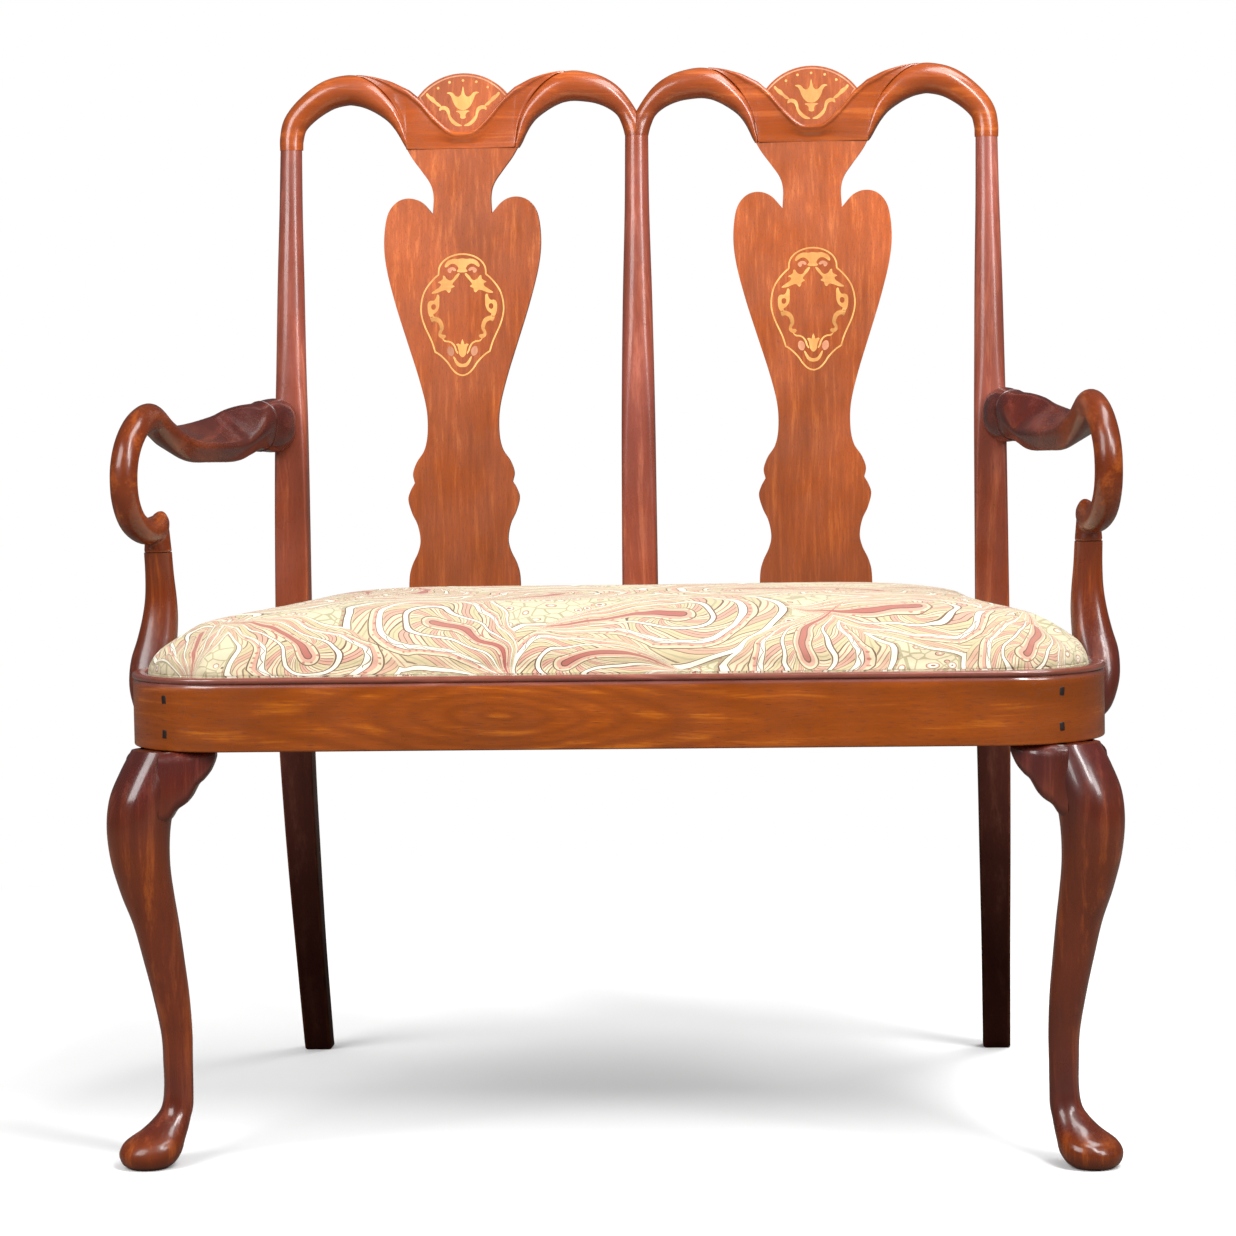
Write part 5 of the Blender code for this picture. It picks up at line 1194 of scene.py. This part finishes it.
def build_shoes():
    """Moulded shoes: a hollow and a round run along the front of each."""
    for word, side in SIDES:
        places = [side * UNIT_X + share * SHOE_HALF_LENGTH for share in (-1, -0.5, 0, 0.5, 1)]
        rings = [[(x, BACK_Y + y, RAIL_TOP + GAP + min(z, SHOE_HEIGHT - GAP)) for y, z in SHOE_PROFILE]
                 for x in places]
        mesh = bevelled(Shape().loft(rings).mesh(board("x", "z", "y", 41 + side)), 0.0008, 2)
        dress(f"dressed_shoe_{word}", mesh, DARK_WOOD, [f"splat_shoe_{word}"])


# ---- Arms, supports, legs and brackets ------------------------------------------------------------------

RING_Y = 0.112
RING_RADIUS = 0.0008
RING_TONE = -0.25
ARM_CELL = 0.0014
HEEL_STEPS = 6
# Purple-brown from the post to the elbow, and red-brown round the crook
ARM_TONE = toned("y", (-0.19, 1.0), (-0.13, 0.85), (-0.06, 0.45), (0.06, 0.0))
SUPPORT_TONE = toned("z", (0.39, 0.1), (0.45, 0.25), (0.5, 0.9))
# Purple-brown knees over red-brown shafts, and pads worn pale at their rim
LEG_TONE = toned("z", (0.008, 1.5), (0.022, 1.1), (0.035, 0.35), (0.07, 0.25), (0.12, 0.6), (0.28, 0.9),
                 (0.34, 0.25), (0.36, 0.05))


def arm_rows():
    """The arm's path from the post to the elbow, and on round the crook to its end."""
    start_y = back_front(ARM_STILE_Z)
    rows = []
    for forward, across, swing, half_width, half_height, roundness, tilt in ARM_SHARES:
        rows.append((ARM_STILE_X + across * (CROOK_X - ARM_STILE_X),
                     start_y + forward * (CROOK_FRONT - start_y), ARM_STILE_Z + swing * ARM_SWING,
                     half_width * ARM_END_WIDTH, half_height * ARM_END_HEIGHT, roundness, tilt * ELBOW_TILT))
    tilt = rows[-1][-1]
    for forward, across, height, radius in CROOK_SHARES:
        r = radius * CROOK_RADIUS
        rows.append((ARM_STILE_X + across * (CROOK_X - ARM_STILE_X),
                     SUPPORT_Y + forward * (CROOK_FRONT - SUPPORT_Y),
                     SUPPORT_TOP + height * (CROOK_TOP - SUPPORT_TOP), r, r, 1.0, tilt))
    return smooth_rows(rows)


def support_rows():
    """The arm support, level by level from its top to its scribed foot."""
    rows = []
    for height, across, forward, half_width, half_depth in smooth_rows(SUPPORT_SHARES):
        rows.append((SUPPORT_X + across * SUPPORT_BULGE,
                     SUPPORT_Y + forward * (CROOK_FRONT - SUPPORT_Y) * SUPPORT_LEAN,
                     SUPPORT_FOOT + height * (SUPPORT_TOP - GAP - SUPPORT_FOOT),
                     half_width * SUPPORT_WIDTH, half_depth * SUPPORT_DEPTH, SUPPORT_ROUNDNESS))
    return rows


def arm_ring(side):
    """The fine raised ring round the arm, where its swelling end begins."""
    rows = arm_rows()
    k = min(range(len(rows)), key=lambda n: abs(rows[n][1] - RING_Y))
    ring = path_rings(rows, side)[k]
    middle = sum(ring, Vector()) / len(ring)
    ahead = (Vector(rows[k + 1][:3]) - Vector(rows[k - 1][:3])).normalized()
    ahead.x *= side
    beads = []
    for point in ring:
        out = (point - middle).normalized()
        beads.append([point + (out * math.cos(a) + ahead * math.sin(a)) * RING_RADIUS
                      for a in EIGHTHS])
    return beads


def build_arms():
    x, y, _, half_width, half_depth, roundness = support_rows()[0]
    heel = []
    for k in range(HEEL_STEPS + 1):
        rise = HEEL_RISE * k / HEEL_STEPS
        narrow = 1 - (1 - HEEL_TAPER) * k / HEEL_STEPS
        heel.append((x, y, SUPPORT_TOP + rise, half_width * narrow, half_depth * narrow, roundness))
    for word, side in SIDES:
        shape = Shape().loft(path_rings(arm_rows(), side)).loft(level_rings(heel, side))
        mesh = fused(shape.mesh(), ARM_CELL, 5)
        own_board = board("y", "x", "z", 51 + side)
        mark(mesh, "grain", [number for vertex in mesh.vertices for number in own_board(vertex.co)],
             "FLOAT_VECTOR", "vector")
        dress(f"dressed_arm_{word}", mesh, MAHOGANY, [f"arm_{word}"], tone=ARM_TONE)
        mesh = Shape().loft(arm_ring(side), closed=True).mesh(board("y", "x", "z", 53 + side))
        dress(f"arm_ring_{word}", mesh, MAHOGANY, tone=lambda p: RING_TONE, worn=0.0)
        mesh = Shape().loft(level_rings(support_rows(), side)).mesh(board("z", "x", "y", 55 + side))
        dress(f"dressed_support_{word}", mesh, MAHOGANY, [f"arm_support_{word}"], tone=SUPPORT_TONE)


KNEE_EDGE = 0.94
KNEE_HOLLOW = 0.0028
KNEE_UNDER = 0.0006
LEG_TOP = RAIL_TOP - RAIL_HEIGHT - GAP
LEG_AXIS = DIAGONAL * (CORNER_RADIUS - LEG_INSET)
LEG_ROWS = smooth_rows(LEG_SHARES)


def leg_rings(side):
    """Level rings of the leg, turned to face the corner."""
    rings = []
    for share, knee, foot, ankle, radius, roundness in LEG_ROWS:
        reach = DIAGONAL * (knee * KNEE_OUT + foot * FOOT_OUT - ankle * ANKLE_IN) + LEG_AXIS
        r = radius * (KNEE_RADIUS + min(max(foot, 0), 1) * (PAD_RADIUS - KNEE_RADIUS))
        corners = section(r, r, min(roundness, 1.0), SECTION_STEPS + 2)
        rings.append([Vector((side * (ARC_X + reach + (a + b) * DIAGONAL), ARC_Y - reach + (b - a) * DIAGONAL,
                              share * LEG_TOP)) for a, b in corners])
    return rings


def knee_front(across, z):
    """How far the leg's skin stands out towards the front, at a place along the rail and a height."""
    share = min(max(z / LEG_TOP, 0.0), 1.0)
    _, knee, _, ankle, radius, _ = min(LEG_ROWS, key=lambda row: abs(row[0] - share))
    middle = LEG_AXIS + DIAGONAL * (knee * KNEE_OUT - ankle * ANKLE_IN)
    radius *= KNEE_RADIUS
    off = (across - middle) / radius
    if abs(off) < KNEE_EDGE:
        return middle + radius * math.sqrt(1 - off * off)
    edge = math.sqrt(1 - KNEE_EDGE ** 2)
    return middle + radius * (edge - (abs(off) - KNEE_EDGE) * KNEE_EDGE / edge)


def bracket_rings(side, face):
    """A knee bracket under the rail, along the front or, mirrored in the diagonal, along the side.

    Its face runs into the knee with a hollow, as one carved surface.
    """
    rings = []
    for run, drop, half_depth, set_in in smooth_rows(BRACKET_SHARES):
        a = LEG_AXIS - run * BRACKET_LENGTH
        b = CORNER_RADIUS - set_in * BRACKET_DEPTH
        half_height, half = drop * BRACKET_HEIGHT / 2, half_depth * BRACKET_DEPTH
        ring = []
        for p, q in section(half_height, half, BRACKET_ROUNDNESS):
            below = half_height - p
            plane = b + half + below * BRACKET_LEAN
            knee = knee_front(a, LEG_TOP - below) - KNEE_UNDER
            front = KNEE_HOLLOW * math.log(math.exp(plane / KNEE_HOLLOW) + math.exp(knee / KNEE_HOLLOW))
            out = b + below * BRACKET_LEAN + q + (front - plane) * max(q, 0) / half
            x, y = (a, -out) if face == "front" else (out, -a)
            ring.append(Vector((side * (ARC_X + x), ARC_Y + y, LEG_TOP - below)))
        rings.append(ring)
    return rings


def build_legs():
    for word, side in SIDES:
        mesh = Shape().loft(leg_rings(side)).mesh(board("z", "x", "y", 61 + side))
        dress(f"dressed_leg_{word}", mesh, MAHOGANY, [f"front_leg_{word}"], tone=LEG_TONE)
        for seed, face in ((65, "front"), (68, "side")):
            mesh = Shape().loft(bracket_rings(side, face)).mesh(board("z", "x", "y", seed + side))
            dress(f"dressed_bracket_{face}_{word}", mesh, MAHOGANY, [f"knee_bracket_{face}_{word}"],
                  tone=LEG_TONE)


# ---- The stuffed seat -----------------------------------------------------------------------------------

PAD_INSET = -0.0024
PAD_HEM = 0.006
PAD_REACH = 0.0015
PAD_LOWER = 0.005
PAD_TUCK = 0.0015
PAD_CELL = 0.0058
PAD_PRESSURE = 4.0
PAD_CAP = 0.006
PAD_FRAMES = 20
SKIRT_THICKNESS = 0.0012
SKIRT_CLEARANCE = 0.0001
COVER_TURN = 0.487
CLOTH_EASE = 0.01
CLOTH_CORE = 0.11
THREAD_RATE = math.pi / 0.0008

LEAVES = (
    # across, back, turn in degrees, size, bend: the large drops of the printed cloth
    (-0.385, -0.235, 200, 0.03, 1.0), (-0.27, -0.3, 20, 0.036, -1.0), (-0.16, -0.235, 250, 0.04, 1.0),
    (-0.04, -0.31, -60, 0.034, 1.0), (0.06, -0.22, 75, 0.042, -1.0), (0.175, -0.305, 10, 0.034, 1.0),
    (0.28, -0.225, 115, 0.04, 1.0), (0.385, -0.3, -30, 0.032, -1.0), (-0.33, -0.11, 95, 0.04, 1.0),
    (-0.2, -0.06, -20, 0.038, -1.0), (-0.06, -0.1, 160, 0.042, 1.0), (0.11, -0.06, -75, 0.042, 1.0),
    (0.24, -0.08, 40, 0.038, -1.0), (0.37, -0.13, 190, 0.036, 1.0), (-0.28, 0.06, 225, 0.038, 1.0),
    (-0.11, 0.08, 30, 0.04, -1.0), (0.04, 0.06, 130, 0.038, 1.0), (0.19, 0.09, -50, 0.04, 1.0),
    (0.33, 0.05, 100, 0.036, -1.0),
)
# The colours of the print
GROUND, CREAM, WHITE = (0.56, 0.46, 0.27), (0.63, 0.55, 0.37), (0.78, 0.74, 0.61)
SAGE, ROSE, BLUSH, LINE = (0.37, 0.33, 0.19), (0.38, 0.085, 0.07), (0.59, 0.31, 0.23), (0.1, 0.035, 0.022)
# A drop's bands from its heart outwards, its strands in one seventh of a turn, and a sprig
BANDS = (
    (0.0, ROSE), (0.03, LINE), (0.04, BLUSH), (0.075, CREAM), (0.1, LINE), (0.11, GROUND), (0.213, LINE),
    (0.223, WHITE), (0.26, LINE), (0.27, GROUND), (0.423, LINE), (0.433, WHITE), (0.485, LINE), (0.495, BLUSH),
    (0.525, CREAM), (0.558, LINE), (0.568, GROUND), (0.688, LINE), (0.698, WHITE), (0.75, LINE), (0.76, SAGE),
    (0.79, CREAM),
)
STRANDS = (
    (0.0, LINE), (0.026, CREAM), (0.15, ROSE), (0.19, CREAM), (0.316, LINE), (0.35, BLUSH), (0.47, LINE),
    (0.495, BLUSH), (0.632, LINE), (0.666, GROUND), (0.805, SAGE), (0.86, GROUND), (0.974, LINE),
)
SPRIG = ((0.0, ROSE), (0.11, LINE), (0.14, WHITE), (0.24, BLUSH), (0.3, LINE), (0.33, CREAM))
DROP_EDGE = 2.37


def node_group(name, kind, inputs, outputs):
    """A node group whose sockets have a name, a kind and perhaps a value, and the first of its inputs."""
    tree = bpy.data.node_groups.new(name, kind)
    for way, sockets in (("INPUT", inputs), ("OUTPUT", outputs)):
        for label, sort, *value in sockets:
            socket = tree.interface.new_socket(label, in_out=way, socket_type="NodeSocket" + sort)
            if value:
                socket.default_value = value[0]
    nodes = Nodes(tree)
    return nodes, nodes.node("NodeGroupInput")


def leaf_group():
    """Nodes shared by every drop: how far a place is out from its heart, and which way round it."""
    nodes, place = node_group("paisley_drop", "ShaderNodeTree", (("Place", "Vector"), ("Bend", "Float")),
                              (("Reach", "Float"), ("Turn", "Float")))
    x, y = place.part(0), place.part(1)
    ahead = y.maximum(0.0)
    x = x - ahead * ahead * (place.other("Bend") * 0.24)
    side, low = x / (1.0 - ahead / 2.7).maximum(0.03).power(0.85), y.minimum(0.0)
    reach = (side * side + low * low).sqrt() + (y - 2.5).maximum(0.0) * 7.0
    nodes.node("NodeGroupOutput", {0: reach, 1: x.arctan2(y - 0.3)})
    return nodes.tree


def paisley(name):
    """Printed paisley on a cream ground: bent drops in nested bands, with feathers, dots and brown lines."""
    f = Finish(name)
    cloth = f.attribute("cloth", "Vector")
    wander = [f.noise(start, (15, 15, 1), 1.0).spread(0.3, 0.7, -0.007, 0.007) for start in
              (cloth, cloth + (3.1, 1.7, 0.0))]
    place = cloth + f.node("ShaderNodeCombineXYZ", enumerate(wander))
    group = leaf_group()
    best, turn = 9.0, 0.0
    for x, y, angle, size, bend in LEAVES:
        inputs = {"Vector": place, "Location": (x, y, 0), "Scale": (size, size, 1),
                  "Rotation": (0, 0, math.radians(angle))}
        local = f.node("ShaderNodeMapping", inputs, vector_type="TEXTURE")
        reach = f.node("ShaderNodeGroup", {0: local, 1: bend}, node_tree=group)
        turn = (reach < best) * (reach.other(1) - turn) + turn
        best = reach.minimum(best)
    colour = (best / 3.0).ramp(BANDS, "CONSTANT")
    strands = (turn * (7 / math.tau) + best * 1.1).fract().ramp(STRANDS, "CONSTANT")
    for low, high, share in ((0.35, 0.62, 1.0), (0.82, 1.26, 1.0), (1.72, 2.05, 0.8)):
        colour = colour.mixed((best > low) * (best < high) * share, strands)
    dot = ((place * (125, 125, 0)).fraction() - (0.5, 0.5, 0)).size() < 0.19
    for middle, width in ((0.27, 0.05), (1.55, 0.09), (2.36, 0.07)):
        colour = colour.mixed(dot * ((best - middle).absolute() < width) * 0.8, ROSE)
    scallop = (turn * 8.0).sine().absolute() * 0.10 + 1.34
    rim = ((best - scallop).absolute() < 0.016) * (turn.absolute() < 2.4)
    colour = colour.mixed(rim * 0.85, LINE)
    spots = {"Vector": place * (62, 62, 0), "Scale": 1.0}
    sprigs = f.node("ShaderNodeTexVoronoi", spots).ramp(SPRIG, "CONSTANT")
    net = f.node("ShaderNodeTexVoronoi", spots, feature="DISTANCE_TO_EDGE")
    colour = colour.mixed(best > DROP_EDGE, sprigs.mixed(net < 0.045, SAGE))
    colour = colour.mixed(f.noise(cloth, (7, 7, 7), 3.0).spread(0.3, 0.7, 0.04, 0.20), (0.64, 0.54, 0.36))
    warp, weft = ((cloth.part(k) * THREAD_RATE).sine() for k in (0, 1))
    threads, slub = warp * weft, f.noise(cloth, (260, 900, 1), 3.0)
    # Darker between the threads and lighter on their crests, a painted shade, and patchy with the yarn's slubs.
    colour = colour.scaled((threads * 0.10 + slub).spread(0.2, 0.8, 0.90, 1.05))
    return f.surface((threads + slub, 0.00012), base_color=colour, roughness=0.88, sheen_weight=0.15,
                     sheen_roughness=0.5)


PAISLEY = paisley("paisley_cloth")


def pad_mesh():
    """The pad before it is stuffed: the solid's form, a little smaller."""
    middle = Vector((0, (FRONT_Y + BACK_Y) / 2))
    outline = seat_outline(SLIP_INSET + PAD_INSET, SLIP_BACK - PAD_INSET, 16)
    edge = [p for p, _ in even([(p, p) for p in outline + outline[:1]])[:-1]]
    waist = 1 - PAD_TUCK / (SEAT_HALF_WIDTH - SLIP_INSET)
    levels = [(waist, -PAD_HEM), (1.0, CUSHION_SIDE)]
    levels += [(scale, share * (CUSHION_CROWN - PAD_LOWER)) for scale, share in CUSHION_SHARES]
    return Shape().loft([[(*(middle + (p - middle) * scale), CUSHION_LOW + rise) for p in edge]
                         for scale, rise in smooth_rows(levels, 3)]).mesh()


def stuffed(mesh):
    """Press the stuffing out against the cover, and keep each point near where it began."""
    start = [vertex.co.copy() for vertex in mesh.vertices]
    pad = placed("pad_to_stuff", mesh)
    held = pad.vertex_groups.new(name="tacked")
    held.add([v.index for v in mesh.vertices if v.co.z < CUSHION_LOW + CUSHION_SIDE / 2], 1.0, "REPLACE")
    cloth = pad.modifiers.new("cover", "CLOTH")
    settings = dict(vertex_group_mass=held.name, use_pressure=True, uniform_pressure_force=PAD_PRESSURE,
                    tension_stiffness=20, compression_stiffness=12, bending_stiffness=0.6, shrink_min=-0.012)
    for key, value in settings.items():
        setattr(cloth.settings, key, value)
    cloth.settings.effector_weights.gravity = 0
    cloth.point_cache.frame_start, cloth.point_cache.frame_end = 1, PAD_FRAMES
    for k in range(PAD_FRAMES):
        bpy.context.scene.frame_set(k + 1)
    result = applied(pad)
    bpy.context.scene.frame_set(1)
    for vertex, origin in zip(result.vertices, start):
        move = vertex.co - origin
        if move.length > PAD_CAP:
            vertex.co = origin + move.normalized() * PAD_CAP
    return result


def box_in(mesh):
    """Keep the pad within its solid's box."""
    half = SEAT_HALF_WIDTH - SLIP_INSET + PAD_REACH
    low = (-half, FRONT_Y + SLIP_INSET - PAD_REACH, CUSHION_LOW)
    high = (half, SLIP_BACK + PAD_REACH, CUSHION_LOW + CUSHION_CROWN)
    for vertex in mesh.vertices:
        vertex.co = [min(max(place, a), b) for place, a, b in zip(vertex.co, low, high)]
    mesh.update()


def lay_cloth(mesh):
    """Where each point comes on the printed cloth, which turns down the pad's sides from its shoulder."""
    core_x = SEAT_HALF_WIDTH - CLOTH_CORE
    values = []
    for vertex in mesh.vertices:
        x, y, z = vertex.co
        out_x = x - min(max(x, -core_x), core_x)
        out_y = y - min(max(y, FRONT_Y + CLOTH_CORE), BACK_Y - CLOTH_CORE / 2)
        drop = (math.hypot(COVER_TURN - z, CLOTH_EASE) + COVER_TURN - z) / 2
        share = drop / max(math.hypot(out_x, out_y), CLOTH_CORE / 4)
        values += [x + out_x * share, y + out_y * share, 0.0]
    mark(mesh, "cloth", values, "FLOAT_VECTOR", "vector")


def build_cushion():
    mesh = fused(pad_mesh(), PAD_CELL, 4)
    mesh = stuffed(mesh)
    mesh = worked(mesh, SUBSURF=dict(levels=1, render_levels=1))
    box_in(mesh)
    lay_cloth(mesh)
    cushion = dress("stuffed_cushion", mesh, PAISLEY, ["seat_cushion"], body="slip_seat")


def build_skirt():
    """The cover's turned-down edge: cloth drawn over the slip frame's sides, to be tacked underneath."""
    low, high = RAIL_TOP - REBATE_DEPTH + SKIRT_THICKNESS, CUSHION_LOW + SKIRT_CLEARANCE
    inner = SLIP_INSET - SKIRT_CLEARANCE
    rings = []
    for out, z in ((0, low), (0.7, low + SKIRT_THICKNESS * 0.3), (1, low + SKIRT_THICKNESS),
                   (1, (low + high) / 2), (1, high - SKIRT_THICKNESS),
                   (0.7, high - SKIRT_THICKNESS * 0.3), (0, high)):
        inset = inner - SKIRT_THICKNESS * out
        line = seat_outline(inset, SLIP_BACK + SLIP_INSET - inset, 24)
        rings.append([(*p, z) for p in line])
        if out == 1:
            length = sum((q - p).length for p, q in zip(line, line[1:] + line[:1]))
    mesh = Shape().loft(list(zip(*rings)), closed=True).mesh()
    lay_cloth(mesh)
    edge = dress("cover_edge", mesh, PAISLEY, body="slip_seat")


TACK_SPACING = 0.028
TACK_RADIUS = 0.0042
TACK_HEIGHT = 0.0016
TACK_MARGIN = 0.006
DUST_CLOTH_BACK = SLIP_BACK - BACK_RAIL_REACH - 0.012


def tack_group():
    """Nodes that set dome-headed tacks along a line, with their spacing and size as named inputs."""
    inputs = (("Geometry", "Geometry"), ("Spacing", "Float", TACK_SPACING), ("Radius", "Float", TACK_RADIUS),
              ("Height", "Float", TACK_HEIGHT), ("Seed", "Int", 7), ("Finish", "Material"))
    nodes, line = node_group("tacks_on_a_line", "GeometryNodeTree", inputs, inputs[:1])
    curve = nodes.node("GeometryNodeMeshToCurve", {0: line})
    spaced = nodes.node("GeometryNodeResampleCurve", {"Curve": curve, "Length": line.other("Spacing")},
                        mode="LENGTH")
    dome = nodes.node("GeometryNodeMeshUVSphere", {"Segments": 10, "Rings": 6, "Radius": 1.0})
    radius = line.other("Radius")
    size = nodes.node("ShaderNodeCombineXYZ", {0: radius, 1: radius, 2: line.other("Height")})
    head = nodes.node("GeometryNodeTransform", {"Geometry": dome, "Scale": size})
    wobble = nodes.node("FunctionNodeRandomValue", {0: (-0.12, -0.12, 0.0), 1: (0.12, 0.12, 6.28),
                                                    "Seed": line.other("Seed")}, data_type="FLOAT_VECTOR")
    tacks = nodes.node("GeometryNodeInstanceOnPoints",
                       {"Points": spaced, "Instance": head, "Rotation": wobble})
    real = nodes.node("GeometryNodeRealizeInstances", {0: tacks})
    painted = nodes.node("GeometryNodeSetMaterial", {"Geometry": real, "Material": line.other("Finish")})
    nodes.node("NodeGroupOutput", {0: painted})
    return nodes.tree


def build_tacks():
    """Tacks that hold the dust cloth to the slip frame's underside."""
    line = seat_outline(DUST_CLOTH_INSET + TACK_MARGIN, DUST_CLOTH_BACK - TACK_MARGIN, 12)
    mesh = bpy.data.meshes.new("tack_line")
    count = len(line)
    mesh.from_pydata([(*p, DUST_CLOTH_LOW + TACK_HEIGHT * 0.1) for p in line],
                     [(k, (k + 1) % count) for k in range(count)], [])
    guide = placed("tack_line", mesh)
    setter = guide.modifiers.new("tacks", "NODES")
    setter.node_group = tack_group()
    for item in setter.node_group.interface.items_tree:
        if item.in_out == "INPUT" and item.name == "Finish":
            setter[item.identifier] = SCREW_STEEL
    dress("dust_cloth_tacks", applied(guide), SCREW_STEEL, body="slip_seat")


# ---- Carried-over solids --------------------------------------------------------------------------------

def build_carried():
    """Give the solids that stay in view full finishes of their own."""
    for finish, nodes, paired in (
            (BEECH_X, ["slip_front_member", "slip_back_member"], ["corner_block_rear"]),
            (BEECH_Y, ["slip_centre_bar"], ["slip_side_member", "corner_block_front", "arm_dowel"]),
            (SCREW_STEEL, [], ["arm_screw", "support_screw_upper", "support_screw_lower"]),
            (WEBBING, ["seat_webbing"], []), (CAMBRIC, ["dust_cloth"], [])):
        for node in nodes + [f"{name}_{word}" for name in paired for word, _ in SIDES]:
            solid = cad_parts[node]
            solid.data.materials.clear()
            solid.data.materials.append(finish)


# ---- Camera and studio ----------------------------------------------------------------------------------

CAMERA_PLACE = (0.25489, -3.62415, 0.7532)
CAMERA_YAW = 0.07336
CAMERA_PITCH = 0.07587
CAMERA_ROLL = -0.01666
CAMERA_LENS = 109.29
PAPER_WHITE = (1, 1, 1)
FLOOR_FADE = (0.85, 1.75)
FLOOR_BOUNCE = (0.17, 0.15, 0.13)
ROOM_LIGHT = 0.56
ROOM_IN_POLISH = 0.09
LAMPS = (
    # name, place, height that it is aimed at, size, power
    ("key", (-2.2, -2.6, 2.7), 0.6, (2.0, 2.2), 98), ("fill", (2.6, -2.2, 2.3), 0.6, (1.0, 1.4), 50),
    ("window", (1.5, -2.1, 3.0), 0.7, (0.5, 1.5), 55), ("top", (0.9, -0.3, 3.0), 0.6, (2.2, 0.9), 50),
)


def set_camera():
    data = bpy.data.cameras.new("photographer")
    data.lens, data.sensor_width = CAMERA_LENS, 36.0
    camera = placed("photographer", data)
    turn = Matrix.Rotation(CAMERA_YAW, 4, "Z") @ Matrix.Rotation(math.pi / 2 - CAMERA_PITCH, 4, "X")
    camera.matrix_world = Matrix.Translation(CAMERA_PLACE) @ turn @ Matrix.Rotation(CAMERA_ROLL, 4, "Z")
    bpy.context.scene.camera = camera


def build_floor():
    """White paper that fades into the glow behind it. What bounces off it is dull and warm."""
    shape = Shape()
    bmesh.ops.create_grid(shape.bm, x_segments=2, y_segments=2, size=12)
    floor = placed("studio_floor", shape.mesh())
    f = Finish("studio_floor")
    place = f.place()
    tone = f.noise(place, (3, 3, 3)).spread(0.0, 1.0, 0.975, 0.99)
    floor.data.materials.append(f.surface(base_color=f.grey(tone), roughness=0.9))
    glow = f.node("ShaderNodeEmission", {"Color": PAPER_WHITE})
    paper = Value(f, f.shader.outputs[0])
    fade = f.node("ShaderNodeMixShader", {0: place.size().spread(*FLOOR_FADE), 1: paper, 2: glow})
    dull = f.node("ShaderNodeBsdfDiffuse", {"Color": FLOOR_BOUNCE})
    in_view = f.node("ShaderNodeLightPath", out="Is Camera Ray")
    shown = f.node("ShaderNodeMixShader", {0: in_view, 1: dull, 2: fade})
    f.put(f.tree.nodes["Material Output"].inputs[0], shown)


def build_room():
    """An even white room: bright to the eye, softer as light, and dim in the polish."""
    world = bpy.data.worlds.new("studio")
    bpy.context.scene.world = world
    world.use_nodes = True
    world.node_tree.nodes.clear()
    room = Nodes(world.node_tree)
    light, polish, seen = (room.node("ShaderNodeBackground", {"Color": PAPER_WHITE, "Strength": strength})
                           for strength in (ROOM_LIGHT, ROOM_IN_POLISH, 1.0))
    ray = room.node("ShaderNodeLightPath")
    lit = room.node("ShaderNodeMixShader", {0: ray.other("Is Glossy Ray"), 1: light, 2: polish})
    room.node("ShaderNodeOutputWorld", {0: room.node("ShaderNodeMixShader", {0: ray, 1: lit, 2: seen})})
    for name, place, height, size, power in LAMPS:
        data = bpy.data.lights.new(name, "AREA")
        data.shape = "RECTANGLE"
        data.size, data.size_y = size
        data.energy = power
        lamp = placed(name, data)
        lamp.location = place
        lamp.rotation_euler = (Vector((0, 0, height)) - Vector(place)).to_track_quat("-Z", "Y").to_euler()
    bpy.context.scene.view_settings.view_transform = "Standard"


build_rails()
build_pegs()
build_posts()
build_centre_stile()
build_crests()
build_plates()
build_marquetry()
build_shoes()
build_arms()
build_legs()
build_cushion()
build_skirt()
build_tacks()
build_carried()
set_camera()
build_floor()
build_room()
